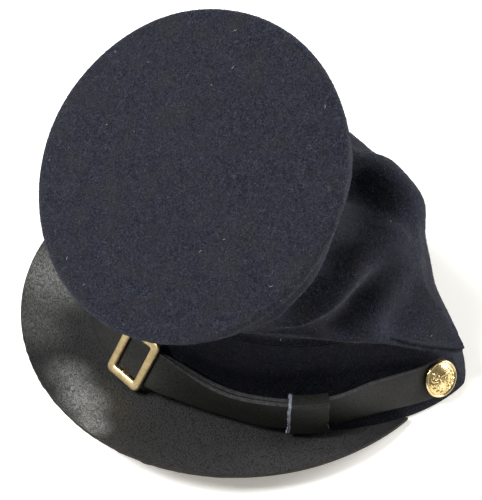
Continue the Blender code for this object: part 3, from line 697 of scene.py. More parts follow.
# %% Crown tables
ROLL_REACH = 0.020
CROWN_LENGTH = 0.090
CROWN_COLLAR = 0.0035
ROLL_ALONG = 0.5
NECK_ALONG = 0.75
FOLD_STEPS = 20
FOLD_MERGE = 4
FOLD_GUARD = 0.6
CALM = 8
SECTION_COLUMNS = (
    "place", "lip_side", "lip_back", "lip_up",
    "roll_side", "roll_back", "roll_up", "neck_side", "neck_back", "neck_up",
)
SECTIONS = (
    (0, 1.08, 0.00, -0.88, -0.05, 0.65, 0.15, -0.45, 0.10, -0.15),
    (10, 0.78, -0.05, -0.58, -0.10, 0.65, 0.05, -0.45, 0.15, -0.35),
    (22, 0.40, -0.05, -0.22, 0.00, 0.60, -0.02, -0.45, 0.35, -0.60),
    (40, 0.06, 0.12, 0.15, 0.27, 0.62, 0.00, -0.15, 0.05, -0.85),
    (60, 0.05, 0.20, 0.30, 0.55, 0.45, -0.12, -0.10, -0.30, -0.40),
    (90, 0.00, 0.30, 0.30, 0.00, 0.60, -0.25, 0.00, 0.00, -0.40),
    (125, -0.15, 0.40, 0.30, -0.20, 0.65, 0.00, 0.15, 0.10, -0.45),
    (150, -0.40, 0.30, 0.00, -0.25, 0.75, 0.00, 0.20, 0.25, -0.45),
    (180, -0.90, 0.00, -0.50, -0.20, 0.55, 0.10, 0.20, 0.10, -0.05),
    (200, -0.70, -0.30, -0.10, -0.10, 0.30, 0.30, 0.10, 0.00, 0.15),
    (225, -0.30, -0.45, 0.50, -0.15, -0.10, 0.45, 0.00, -0.10, 0.30),
    (270, -0.05, -0.25, 0.60, -0.05, -0.10, 0.40, -0.05, -0.10, 0.20),
    (307, 0.00, -0.55, 0.90, 0.10, 0.00, 0.45, 0.10, 0.20, 0.20),
    (335, 0.35, -0.65, 0.45, -0.10, 0.20, 0.30, -0.15, 0.10, 0.15),
    (350, 0.70, -0.40, -0.35, -0.15, 0.45, 0.25, -0.30, 0.10, 0.05),
)
FOLD_COLUMNS = ("from_place", "from_up", "to_place", "to_up", "band_width", "top_width", "rise")
FOLDS = (
    (35, 0.42, 10, 0.58, 0.50, 0.50, 0.15),
    (10, 0.58, -12, 0.645, 0.40, 0.45, 0.32),
    (-12, 0.645, -25, 0.62, 0.30, 0.40, 0.42),
    (-25, 0.62, -37, 0.57, 0.20, 0.30, 0.34),
    (95, 0.50, 74, 0.46, 0.45, 0.45, -0.40),
    (74, 0.46, 60, 0.60, 0.38, 0.45, -0.42),
    (60, 0.60, 42, 0.70, 0.42, 0.50, -0.45),
    (42, 0.70, 13, 0.84, 0.45, 0.45, -0.45),
    (13, 0.84, -1, 0.81, 0.35, 0.30, -0.35),
    (-1, 0.81, -21, 0.80, 0.25, 0.22, -0.30),
    (-8, 0.90, -30, 0.86, 0.15, 0.15, 0.16),
    (20, 0.46, -2, 0.53, 0.12, 0.40, 0.18),
    (-2, 0.53, -13, 0.47, 0.12, 0.30, 0.26),
    (-13, 0.47, -25, 0.37, 0.12, 0.25, 0.28),
    (-10, 0.56, -16, 0.51, 0.20, 0.20, -0.15),
    (-16, 0.51, -32, 0.45, 0.20, 0.20, -0.32),
    (24, 0.38, 8, 0.43, 0.18, 0.16, -0.06),
    (8, 0.43, -4, 0.47, 0.18, 0.16, -0.12),
    (-4, 0.47, -13, 0.41, 0.18, 0.16, -0.22),
    (-13, 0.41, -17, 0.385, 0.16, 0.14, -0.18),
    (214, 0.60, 184, 0.62, 0.30, 0.30, 0.25),
    (184, 0.62, 150, 0.50, 0.35, 0.35, 0.30),
    (200, 0.84, 160, 0.82, 0.30, 0.30, -0.25),
    (206, 0.34, 176, 0.46, 0.25, 0.25, 0.22),
    (124, 0.36, 80, 0.30, 0.40, 0.40, 0.15),
)


# %% Crown wall
def rim_point(place, below=0.0, inset=0.0):
    """Point under the edge of the top where the crown wall's outer face ends, or below or inside it."""
    angle = np.radians(np.asarray(place, float))
    radius = TOP_RADIUS - CROWN_TUCK - inset
    depth = np.full_like(angle, -(TOP_EDGE + SEAM_GAP + below))
    return on_top(np.stack([radius * np.cos(angle), radius * np.sin(angle), depth], axis=-1))


def through(knots, ways):
    """Smooth curve through knots (knot, place, 3) at ways from 0 to 1, spaced by the knots' distances."""
    gaps = np.linalg.norm(np.diff(knots, axis=0), axis=-1) ** 0.5
    at = np.concatenate([np.zeros((1, *gaps.shape[1:])), np.cumsum(gaps, axis=0)])
    at = at / at[-1]
    slopes = np.empty_like(knots)
    slopes[1:-1] = (knots[2:] - knots[:-2]) / (at[2:] - at[:-2])[..., None]
    slopes[0] = (knots[1] - knots[0]) / (at[1] - at[0])[..., None]
    slopes[-1] = (knots[-1] - knots[-2]) / (at[-1] - at[-2])[..., None]
    every = np.arange(knots.shape[1])
    made = []
    for way in ways:
        i = np.clip((at[1:-1] <= way).sum(axis=0), 0, len(knots) - 2)
        step = (at[i + 1, every] - at[i, every])[:, None]
        t = ((way - at[i, every]) / step[:, 0])[:, None]
        ends, end_slopes = (grid[(i, i + 1), every] for grid in (knots, slopes))
        made.append(curve(t, step, *ends, *end_slopes))
    return np.array(made)


def fold_rise(plain, places, ways):
    """Height of the folds over a grid of the plain crown wall, whose places run evenly round the cap."""
    degree = math.pi * (HEM_HALF_WIDTH + HEM_FRONT_REACH) / 360
    ridge, hollow = np.zeros((2, *plain.shape[:2]))
    here = np.stack(np.broadcast_arrays(places[None, :] * degree, ways[:, None] * CROWN_LENGTH), axis=-1)
    for row in FOLDS:
        fold = dict(zip(FOLD_COLUMNS, row))
        ends = np.array([[fold["from_place"], fold["from_up"]], [fold["to_place"], fold["to_up"]]])
        spots = ends[0] + (ends[1] - ends[0]) * np.linspace(0, 1, FOLD_STEPS)[:, None]
        spots_row = np.rint(np.interp(spots[:, 1], ways, np.arange(len(ways)))).astype(int)
        spots_column = np.rint(spots[:, 0] / 360 * len(places)).astype(int) % len(places)
        away = np.linalg.norm(plain[:, :, None] - plain[spots_row, spots_column], axis=-1).min(axis=-1)
        start, run = ends[0] * (degree, CROWN_LENGTH), (ends[1] - ends[0]) * (degree, CROWN_LENGTH)
        apart, side = np.full(away.shape, np.inf), np.zeros(away.shape)
        for lap in (-360, 0, 360):
            from_start = here + (lap * degree, 0) - start
            share = np.clip((from_start @ run) / (run @ run), 0, 1)
            gap = np.linalg.norm(from_start - share[..., None] * run, axis=-1)
            cross = run[0] * from_start[..., 1] - run[1] * from_start[..., 0]
            side = np.where(gap < apart, cross, side)
            apart = np.minimum(gap, apart)
        width = np.where(side > 0, fold["band_width"], fold["top_width"]) * ROLL_REACH
        size = abs(fold["rise"]) * ROLL_REACH * np.exp(-((np.maximum(away, apart * FOLD_GUARD) / width) ** 2))
        kind = ridge if fold["rise"] > 0 else hollow
        kind += size**FOLD_MERGE
    rise = ridge ** (1 / FOLD_MERGE) - hollow ** (1 / FOLD_MERGE)
    return rise * np.sin(np.pi * np.clip(ways, 0, 1))[:, None] ** 0.5


def calmed(points, times):
    """The grid with each point drawn towards its neighbours, its first and last rows kept."""
    points = points.copy()
    for _ in range(times):
        beside = np.roll(points, 1, axis=1) + np.roll(points, -1, axis=1)
        points[1:-1] = 0.5 * points[1:-1] + 0.125 * (points[:-2] + points[2:] + beside[1:-1])
    return points


def crown_points(places, ways):
    """Grid of points on the crown wall's outer face, from the band up to the top."""
    foot = band_point(places, BAND_HEIGHT + SEAM_GAP)
    head = rim_point(places)
    given = column(SECTIONS, SECTION_COLUMNS, "place")
    share = {}
    for name in SECTION_COLUMNS[1:]:
        share[name] = spread_round(places, given, column(SECTIONS, SECTION_COLUMNS, name))

    def moved(knot, along):
        move = np.stack([share[f"{knot}_{way}"] for way in ("side", "back", "up")], axis=-1)
        return foot + (head - foot) * along + move * ROLL_REACH

    knots = [
        foot,
        band_point(places, BAND_HEIGHT + SEAM_GAP + CROWN_COLLAR),
        moved("lip", 0),
        moved("roll", ROLL_ALONG),
        moved("neck", NECK_ALONG),
        rim_point(places, CROWN_COLLAR),
        head,
    ]
    plain = through(np.stack(knots), ways)
    plain = calmed(plain, CALM)
    return calmed(plain + grid_normals(plain) * fold_rise(plain, places, ways)[..., None], CALM)


CROWN_ROWS = 110
INNER_ROWS = 40
CRINKLE = 0.0004
CRINKLE_SIZE = 0.012
SOFTEN = 14
crown_ways = np.linspace(0, 1, CROWN_ROWS)
crown_outer = calmed(crown_points(around, crown_ways), SOFTEN)
crinkles = ripple(crown_outer, CRINKLE_SIZE, seed=31) * CRINKLE * np.sin(math.pi * crown_ways)[:, None]
crown_outer += grid_normals(crown_outer) * crinkles[..., None]
rows_kept = np.linspace(0, CROWN_ROWS - 1, INNER_ROWS).round().astype(int)
crown_inner = (crown_outer - grid_normals(crown_outer) * CLOTH_WALL)[rows_kept]
crown_inner[0] = band_point(around, BAND_HEIGHT + SEAM_GAP, -CLOTH_WALL)
crown_inner[-1] = rim_point(around, inset=CLOTH_WALL)
crown_loops = np.concatenate([crown_outer, crown_inner[::-1]])
crown = make_ring("wool_crown", crown_loops, [wool], ["crown"], sharp=0)

# %% [markdown]
# ## The peak
#
# The peak is one crescent of thick leather, cut with a knife, so its outer edge is square and raw. It curls
# up off the table towards the middle of its edge. Its section is carried along the crescent, and the faces
# of the cut edge get their own rough finish.

# %% Peak
PEAK_WALL = 0.0022
PEAK_HALF_WIDTH = 0.094
PEAK_REACH = 0.100
PEAK_DEPTH = 0.0415
PEAK_TIP = 0.031
PEAK_FLOOR_GAP = 0.0004
PEAK_LIFT = 0.0145
PEAK_CURVE = 1.3
PEAK_LIFT_COLUMNS = ("across", "share")
PEAK_LIFTS = ((-1.0, 0.25), (-0.6, 0.72), (-0.2, 0.95), (0.2, 0.92), (0.6, 0.72), (0.85, 0.42), (1.0, 0.10))
PEAK_COLUMNS = 260
PEAK_ROWS = 34
PEAK_ROW_EASE = 1.15
PEAK_WAVE = 0.00012
PEAK_WAVE_SIZE = 0.012
CUT_CHAMFER = 0.006
CUT_CORNER = 0.12
CUT_DEPTHS = (0.0, 0.33, 0.66, 1.0)
CUT_ROUGH_AT_TOP = 0.3
CUT_WAVES = ((0.004, 0.004, 41), (0.0015, 0.003, 42))

inner_tip = math.degrees(math.asin((PEAK_TIP / HEM_FRONT_REACH) ** (1 / HEM_FRONT_POINT)))
peak_middle = PEAK_REACH - HEM_FRONT_REACH - PEAK_DEPTH
outer_tip = math.asin((PEAK_TIP + peak_middle) / PEAK_REACH)
inner_x, inner_y = outline(np.linspace(180 + inner_tip, 360 - inner_tip, PEAK_COLUMNS), -SEAM_GAP)
turns = np.linspace(math.pi + outer_tip, 2 * math.pi - outer_tip, PEAK_COLUMNS)
outer_x, outer_y = PEAK_HALF_WIDTH * np.cos(turns), peak_middle + PEAK_REACH * np.sin(turns)
lift_places, lift_shares = (column(PEAK_LIFTS, PEAK_LIFT_COLUMNS, name) for name in PEAK_LIFT_COLUMNS)
lift = PEAK_LIFT * spread(np.linspace(-1, 1, PEAK_COLUMNS), lift_places, lift_shares)


def peak_point(share, down):
    """Point of the peak at a share of the way from the band to its outer edge, down into its thickness."""
    share = np.broadcast_to(share, (PEAK_COLUMNS,))
    x = inner_x + (outer_x - inner_x) * share
    y = inner_y + (outer_y - inner_y) * share
    height = PEAK_FLOOR_GAP + PEAK_WALL + lift * np.clip(share, 0, 1) ** PEAK_CURVE
    return np.stack([x, y, height - down], axis=-1)


outer_edge = np.array([outer_x, outer_y, 0 * outer_x]).T
ragged = sum(ripple(outer_edge, size, seed) * share for size, share, seed in CUT_WAVES)
shares = 1 - (1 - np.linspace(0, 1, PEAK_ROWS)) ** PEAK_ROW_EASE
top_side = [peak_point(share * (1 - CUT_CHAMFER), 0) for share in shares]
edge_side = []
for depth in CUT_DEPTHS:
    down = PEAK_WALL * (CUT_CORNER + (1 - 2 * CUT_CORNER) * depth)
    edge_side.append(peak_point(1 + ragged * (CUT_ROUGH_AT_TOP + depth), down))
under_side = [peak_point(share * (1 - CUT_CHAMFER), PEAK_WALL) for share in shares[::-2]]
peak_loops = np.array(top_side + edge_side + under_side)
peak_loops[:PEAK_ROWS, :, 2] += ripple(peak_loops[:PEAK_ROWS], PEAK_WAVE_SIZE, seed=43) * PEAK_WAVE
peak = make_bar("leather_peak", peak_loops.transpose(1, 0, 2), [leather, raw_edge], ["peak"], 50)
cut_rows = range(PEAK_ROWS - 1, PEAK_ROWS + len(edge_side))
share_finishes(peak, len(peak_loops), lambda along, across: along < PEAK_COLUMNS - 1 and across in cut_rows)

# %% [markdown]
# ## The chin strap
#
# Two leather straps come from the buttons. The right one passes through the slide buckle and lies on the
# left one as far as the keeper. Both follow the front of the band, leaning back with it or standing off it
# where they are slack. STRAP_RUN says how, and every layer is cut at the same stations, so they never cross.

# %% Run of the strap
STRAP_WIDTH = 0.016
STRAP_WALL = 0.0018
STRAP_HALF_LENGTH = 0.132
STRAP_END = 0.006
LAYER_GAP = 0.0003
LAYER_STEP = 0.020
SEAT_GAP = 0.0005
SEAT_EASE = 0.030
KEEPER_PLACE = 0.070
KEEPER_LENGTH = 0.016
KEEPER_WALL = 0.0012
KEEPER_COVERS = 0.1
STRAP_STANDOFF = KEEPER_WALL + 2 * LAYER_GAP
BUCKLE_PLACE = -0.0075
BUCKLE_LENGTH = 0.0190
BUCKLE_BAR = 0.0030
STRAP_RUN_COLUMNS = ("along", "height", "tilt", "stand")
STRAP_RUN = (
    (-1.00, 0.11, 33, 0.00),
    (-0.70, 0.20, 24, 0.00),
    (-0.40, 0.20, 24, 0.10),
    (-0.18, 0.17, 40, 0.37),
    (-0.06, 0.17, 40, 0.37),
    (0.03, 0.17, 39, 0.36),
    (0.12, 0.18, 20, 0.15),
    (0.27, 0.19, 0, 0.00),
    (0.42, 0.20, 2, 0.08),
    (0.60, 0.22, 6, 0.10),
    (0.75, 0.22, 20, 0.03),
    (1.00, 0.11, 33, 0.00),
)
front = np.linspace(180, 360, 1440)
front_xy = np.stack(outline(front, 0.0), axis=-1)
front_run = np.concatenate([[0], np.cumsum(np.linalg.norm(np.diff(front_xy, axis=0), axis=-1))])
front_run -= np.interp(270, front, front_run)


def strap_run(distance, name):
    """One column of STRAP_RUN at distances along the front."""
    along = column(STRAP_RUN, STRAP_RUN_COLUMNS, "along") * STRAP_HALF_LENGTH
    return spread(distance, along, column(STRAP_RUN, STRAP_RUN_COLUMNS, name))


def strap_point(distance, across, out):
    """Point at a distance along the strap's way, across it from its centre line and out from its back."""
    distance, across, out = np.broadcast_arrays(*(np.asarray(v, float) for v in (distance, across, out)))
    place = np.interp(distance, front_run, front)
    low = BAND_HEIGHT * strap_run(distance, "height")
    tilt = np.radians(strap_run(distance, "tilt"))
    up_strap = across + STRAP_WIDTH / 2
    height = low + up_strap * np.cos(tilt) + out * np.sin(tilt)
    inset = low * np.tan(np.radians(lean(place))) + up_strap * np.sin(tilt) - out * np.cos(tilt)
    x, y = outline(place, inset - STRAP_WIDTH * strap_run(distance, "stand"))
    return np.stack([x, y, height], axis=-1)


def back_level(distance):
    """Gap between the band and the back layer, which is seated on the band at the buttons."""
    away = eased((STRAP_HALF_LENGTH - np.abs(distance)) / SEAT_EASE)
    return SEAT_GAP + (STRAP_STANDOFF - SEAT_GAP) * away


def front_level(distance):
    """Gap between the band and the front layer, which steps up onto the back layer at the buckle."""
    step = eased((distance - BUCKLE_PLACE + BUCKLE_LENGTH + LAYER_STEP) / LAYER_STEP)
    return back_level(distance) + (STRAP_WALL + LAYER_GAP) * step


# %% Strap pieces
STATION = 0.0012
EDGE_ROUND = 0.0005
SECTION_CORNER_STEPS = 3
SECTION_FACE_POINTS = 7
SIDE_WAVE = 0.008
SIDE_WAVE_SIZE = 0.012
STRAP_SHARP = 50


def strap_section(width, wall, corner, across_steps):
    """Points (across, out) round a strap's section, counted from the upper end of its front face."""
    flat = np.linspace(-0.5, 0.5, across_steps) * (width - 2 * corner)
    points = [(a, wall) for a in flat[::-1]] + [(a, 0.0) for a in flat]
    arc = np.linspace(0, math.pi / 2, SECTION_CORNER_STEPS + 1)[1:]
    half = width / 2 - corner
    low = [(-half - corner * math.sin(t), wall - corner * (1 - math.cos(t))) for t in arc]
    low += [(-half - corner * math.cos(t), corner * (1 - math.sin(t))) for t in arc[:-1]]
    high = [(half + corner * math.sin(t), corner * (1 - math.cos(t))) for t in arc]
    high += [(half + corner * math.cos(t), wall - corner * (1 - math.sin(t))) for t in arc[:-1]]
    return np.array(points[:across_steps] + low + points[across_steps:] + high)


def make_strap(name, start, end, level, solid, seed):
    """Makes one layer of the strap, with softened edges and slightly uneven cut sides."""
    first, last = math.ceil(start / STATION + 0.5), math.floor(end / STATION - 0.5)
    distance = np.array([start, *(np.arange(first, last + 1) * STATION), end])
    section = strap_section(STRAP_WIDTH, STRAP_WALL, EDGE_ROUND, SECTION_FACE_POINTS)
    uneven = ripple(distance[:, None, None] * np.ones(3), SIDE_WAVE_SIZE, seed)
    across = section[None, :, 0] * (1 + SIDE_WAVE * uneven)
    out = level(distance)[:, None] + section[None, :, 1]
    rings = strap_point(np.broadcast_to(distance[:, None], out.shape), across, out)
    made = make_bar(name, rings, [strap_leather, worn_edge], [solid], STRAP_SHARP)
    count, side_faces = len(section), 2 * SECTION_CORNER_STEPS - 2
    low_side = range(SECTION_FACE_POINTS, SECTION_FACE_POINTS + side_faces)
    high_side = range(count - side_faces - 1, count)
    share_finishes(made, count, lambda along, spot: spot in low_side or spot in high_side)


strap_last = STRAP_HALF_LENGTH + STRAP_END
left_start = BUCKLE_PLACE + BUCKLE_BAR / 2 + LAYER_GAP
right_end = KEEPER_PLACE + KEEPER_LENGTH * KEEPER_COVERS
make_strap("leather_strap_left", left_start, strap_last, back_level, "strap_left", seed=51)
make_strap("leather_strap_right", -strap_last, right_end, front_level, "strap_right", seed=52)

# %% Keeper
KEEPER_TURN = 1.1
KEEPER_ROWS = 44
KEEPER_FRAY = 0.00045
KEEPER_SWELL = 0.00035
KEEPER_FLARE = 0.0005
FRAYED_ROWS = 3
FRAY_WAVES = ((0.0030, 0.6), (0.0009, 0.5))
FRAY_FADE = 3
FLARE_WAVE = 0.9
FLARE_WAVE_SIZE = 0.0012
FLARE_FADE = 12
HOLE_CORNER = 0.0004
KEEPER_CORNER_STEPS = 5
KEEPER_SIDE_STEPS = (21, 1)
KEEPER_CUT_DEPTHS = (0.25, 0.5, 0.75)


def rounded_box(half_x, half_y, corner, corner_steps, side_steps):
    """Outline of a rectangle with rounded corners. Its level and its upright sides have side_steps each."""
    arcs = []
    for quarter, (sx, sy) in enumerate(((1, 1), (-1, 1), (-1, -1), (1, -1))):
        turns = np.radians(np.linspace(90 * quarter, 90 * (quarter + 1), corner_steps + 1))
        x = sx * (half_x - corner) + corner * np.cos(turns)
        y = sy * (half_y - corner) + corner * np.sin(turns)
        arcs.append(np.column_stack([x, y]))
    sides = []
    for i, (arc, after) in enumerate(zip(arcs, arcs[1:] + arcs[:1])):
        sides += [arc, np.linspace(arc[-1], after[0], side_steps[i % 2] + 1)[1:-1]]
    return np.concatenate(sides)


def keeper_section(wider, corner):
    """Points (across, out) round the keeper's hole, or round its skin where that is wider."""
    outline_points = rounded_box(
        STRAP_WIDTH / 2 + LAYER_GAP + wider, (hole_high - hole_low) / 2 + wider, corner,
        KEEPER_CORNER_STEPS, KEEPER_SIDE_STEPS,
    )
    return outline_points + (0, (hole_low + hole_high) / 2)


def ragged_end(seed):
    """How far a cut end runs out past a straight cut, round the keeper."""
    waves = [ripple(turn_noise, size, seed + i) * share for i, (size, share) in enumerate(FRAY_WAVES)]
    return sum(waves) * KEEPER_FRAY


hole_low = STRAP_STANDOFF - LAYER_GAP
hole_high = STRAP_STANDOFF + 2 * (STRAP_WALL + LAYER_GAP)
hole = keeper_section(0.0, HOLE_CORNER)
skin = keeper_section(KEEPER_WALL, KEEPER_WALL * KEEPER_TURN)
lengthwise = np.linspace(-0.5, 0.5, KEEPER_ROWS)
turn_noise = np.stack([skin[:, 0], skin[:, 1], 0 * skin[:, 0]], axis=-1)
near_end, far_end = (ragged_end(seed) for seed in (61, 63))


def keeper_loop(share, depth):
    """One turn round the keeper at a share of its length, between its outer skin (0) and its hole (1)."""
    section = skin + (hole - skin) * depth
    swell = KEEPER_SWELL * math.cos(math.pi * share) * (1 - depth)
    section = section + (0, swell) * (section[:, 1:] > hole_high)
    near, far = max(0.0, -2 * share), max(0.0, 2 * share)
    uneven = 1 + FLARE_WAVE * ripple(turn_noise, FLARE_WAVE_SIZE, seed=65)
    flare = KEEPER_FLARE * near**FLARE_FADE * (1 - depth) * uneven[:, None]
    section = section + flare * unit(section - section.mean(axis=0))
    along = KEEPER_LENGTH * share + near_end * near**FRAY_FADE + far_end * far**FRAY_FADE
    return strap_point(KEEPER_PLACE + along, section[:, 0], section[:, 1])


def keeper_finish(row, _):
    """Number of the finish on a row of the keeper's faces: frayed near the buckle, worn at the far end."""
    if row < FRAYED_ROWS or row >= far_rows + len(hole_side) - 1:
        return 1
    return 2 if KEEPER_ROWS - 1 <= row < far_rows else 0


far_rows = KEEPER_ROWS + len(KEEPER_CUT_DEPTHS)
hole_side = lengthwise[::-3]
keeper_loops = [keeper_loop(share, 0.0) for share in lengthwise]
keeper_loops += [keeper_loop(0.5, depth) for depth in KEEPER_CUT_DEPTHS]
keeper_loops += [keeper_loop(share, 1.0) for share in hole_side]
keeper_loops += [keeper_loop(-0.5, depth) for depth in KEEPER_CUT_DEPTHS[::-1]]
keeper_finishes = [strap_leather, frayed_edge, worn_edge]
keeper = make_ring(
    "leather_keeper", np.array(keeper_loops), keeper_finishes, ["strap_keeper"], STRAP_SHARP,
)
share_finishes(keeper, len(skin), keeper_finish)

# %% [markdown]
# ## The slide buckle and the buttons
#
# The buckle is a flat stamped frame with softened edges and a bar behind the strap. The buttons are stamped
# too: a dome with a raised rim and a shield between two leaf sprays, which a grid of heights describes.

# %% Places on the strap
SMALL_STEP = 0.0005


def wall_matrix(distance, out):
    """Matrix of a place on the strap: local X along it, local Y across it and local Z outwards."""
    before, after = (strap_point(distance + step, 0.0, out) for step in (-SMALL_STEP, SMALL_STEP))
    along = unit(after - before)
    across = strap_point(distance, STRAP_WIDTH / 2, out) - strap_point(distance, -STRAP_WIDTH / 2, out)
    outwards = unit(np.cross(along, across))
    return np.stack([along, np.cross(outwards, along), outwards, strap_point(distance, 0.0, out)], axis=-1)


def placed(matrix, local):
    """Points of a place on the strap, brought into the cap's frame."""
    return local @ matrix[:, :3].T + matrix[:, 3]


# %% Buckle
BUCKLE_RAIL = 0.0037
BUCKLE_WALL = 0.0014
BUCKLE_CORNER = 0.0028
BUCKLE_LEG = 0.0012
BUCKLE_SINK = 0.0005
BUCKLE_CORNER_STEPS = 12
BUCKLE_SIDE_STEPS = (5, 5)
BUCKLE_WAVE = 0.00006
BUCKLE_WAVE_SIZE = 0.004
BAR_PROFILE = ((-1.0, 0.9), (-0.85, 1.0), (0.85, 1.0), (1.0, 0.9))
RAIL_PROFILE = (
    (0.0, 0.0), (0.0, 0.55), (0.03, 0.78), (0.10, 0.93), (0.20, 1.0), (0.50, 1.03),
    (0.80, 1.0), (0.90, 0.93), (0.97, 0.78), (1.0, 0.55), (1.0, 0.0),
)

half_x, half_y = BUCKLE_LENGTH / 2, STRAP_WIDTH / 2 + LAYER_GAP + BUCKLE_RAIL
frame_out, frame_in = (
    rounded_box(half_x - inset, half_y - inset, corner, BUCKLE_CORNER_STEPS, BUCKLE_SIDE_STEPS)
    for inset, corner in ((0.0, BUCKLE_CORNER), (BUCKLE_RAIL, BUCKLE_CORNER / 4))
)
frame_loops = []
for share, height in RAIL_PROFILE:
    flat = frame_in + (frame_out - frame_in) * share
    frame_loops.append(np.column_stack([flat, np.full(len(flat), height * BUCKLE_WALL)]))
frame_loops = np.array(frame_loops)
frame_loops[2:-2, :, 2] += ripple(frame_loops[2:-2], BUCKLE_WAVE_SIZE, seed=71) * BUCKLE_WAVE
frame_level = front_level(BUCKLE_PLACE) + STRAP_WALL + LAYER_GAP
buckle_matrix = wall_matrix(BUCKLE_PLACE, frame_level)
make_ring("brass_buckle", placed(buckle_matrix, frame_loops)[::-1], [brass], ["buckle"], 45)

bar_inside = STRAP_WIDTH / 2 + LAYER_GAP
bar_outside = bar_inside + BUCKLE_LEG
bar_back = STRAP_STANDOFF - frame_level
bar_front = bar_back + STRAP_WALL
bar_way = (
    (-bar_outside, BUCKLE_SINK), (-bar_outside, bar_back),
    (bar_outside, bar_back), (bar_outside, BUCKLE_SINK),
    (bar_inside, BUCKLE_SINK), (bar_inside, bar_front),
    (-bar_inside, bar_front), (-bar_inside, BUCKLE_SINK),
)
bar_rings = []
for share, draw in BAR_PROFILE:
    ring = np.array([(share * BUCKLE_BAR / 2, y, z) for y, z in bar_way])
    centre = ring.mean(axis=0)
    bar_rings.append(centre + (ring - centre) * (1, (1 + draw) / 2, 1))
make_bar("brass_buckle_bar", placed(buckle_matrix, np.array(bar_rings)), [brass], ["buckle"], 30)

# %% Buttons
BUTTON_RADIUS = 0.0080
BUTTON_DOME = 0.0036
BUTTON_BACK = 0.0012
BUTTON_RIM = 0.0011
BUTTON_RELIEF = 0.00048
BUTTON_RINGS = 76
BUTTON_COLUMNS = 180
BUTTON_CENTRE = 0.01
BUTTON_BACK_PROFILE = ((1.0, 0.4), (0.95, 0.15), (0.8, 0.0), (0.02, 0.0))
FIELD_RADIUS = 0.90
RIM_MIDDLE = 0.925
RIM_HALF_WIDTH = 0.075
RIM_FOOT = 0.55
RELIEF_RADIUS = 0.84
RELIEF_FADE = 0.04
BEADS = 60
BEAD_HEIGHT = 0.00006
BEAD_RADIUS = 0.855
BEAD_HALF_WIDTH = 0.02


def ramp(distance, soft):
    """1 well inside a shape and 0 outside it, from a distance that is positive inside."""
    return eased(distance / soft + 0.5)


# %% Relief of the buttons, in shares of a button's radius and of its relief
SHIELD_HEAD = 0.36
SHIELD_BARS_BELOW = 0.16
SHIELD_SHOULDER = -0.02
SHIELD_FOOT = -0.40
SHIELD_TAPER = 0.62
SHIELD_WIDEST = 0.27
SHIELD_HALF_WIDTH = 0.235
SHIELD_SOFT = 0.05
SHIELD_LEVEL = 0.45
BARS_APART = 0.105
BARS_RISE = 0.4
HEAD_BAND_LEVEL = 0.2
BARS_INSET = 0.05
BARS_FADE = 0.04
BORDER_INSET = 0.03
BORDER_WIDTH = 0.045
BORDER_SOFT = 0.03
BORDER_RISE = 0.3
LEAVES_EACH_SIDE = 6
LEAF_FIRST = -68
LEAF_STEP = 22
LEAF_ROWS = ((0.50, 0.55), (0.68, -0.55))
LEAF_LENGTH = 0.115
LEAF_WIDTH = 0.050
LEAF_SOFT = 1.2
LEAF_VEIN = 0.75
STEM_RADIUS = 0.59
STEM_WIDTH = 0.02
STEM_FROM = 0.05
STEM_TO = 0.5
STEM_RISE = 0.5
FAR_OFF = 10


def shield_relief(x, y):
    """A shield with a band across its head and upright bars below."""
    half = SHIELD_WIDEST * np.sqrt(np.clip((y - SHIELD_FOOT) / SHIELD_TAPER, 0, 1))
    half = np.where(y > SHIELD_SHOULDER, np.maximum(half, SHIELD_HALF_WIDTH), half)
    inside = np.minimum(half - np.abs(x), SHIELD_HEAD - y)
    bars = 0.5 + 0.5 * np.cos(x * 2 * math.pi / BARS_APART)
    pattern = np.where(y < SHIELD_BARS_BELOW, bars, HEAD_BAND_LEVEL) * ramp(inside - BARS_INSET, BARS_FADE)
    border = ramp(BORDER_WIDTH - np.abs(inside - BORDER_INSET), BORDER_SOFT)
    return ramp(inside, SHIELD_SOFT) * (SHIELD_LEVEL + BARS_RISE * pattern) + BORDER_RISE * border


def leaf_relief(x, y):
    """Two leaf sprays that curve up round the shield. LEAF_ROWS holds each row's reach and swing."""
    raised = np.zeros(np.broadcast(x, y).shape)
    for side in (-1, 1):
        for i in range(LEAVES_EACH_SIDE):
            turn = math.radians(LEAF_FIRST + LEAF_STEP * i)
            for reach, swing in LEAF_ROWS:
                from_x, from_y = x - side * reach * math.cos(turn), y - reach * math.sin(turn)
                tilt = math.pi / 2 + turn + swing
                along = from_x * side * math.cos(tilt) + from_y * math.sin(tilt)
                across = -from_x * side * math.sin(tilt) + from_y * math.cos(tilt)
                leaf = ramp(1 - (along / LEAF_LENGTH) ** 2 - (across / LEAF_WIDTH) ** 2, LEAF_SOFT)
                vein = LEAF_VEIN + (1 - LEAF_VEIN) * np.abs(across) / LEAF_WIDTH
                raised = np.maximum(raised, leaf * vein)
        beyond = FAR_OFF * (side * x < STEM_FROM) + FAR_OFF * (y > STEM_TO)
        stem = np.abs(np.hypot(x, y) - STEM_RADIUS) + beyond
        raised = np.maximum(raised, STEM_RISE * ramp(STEM_WIDTH - stem, STEM_WIDTH))
    return raised


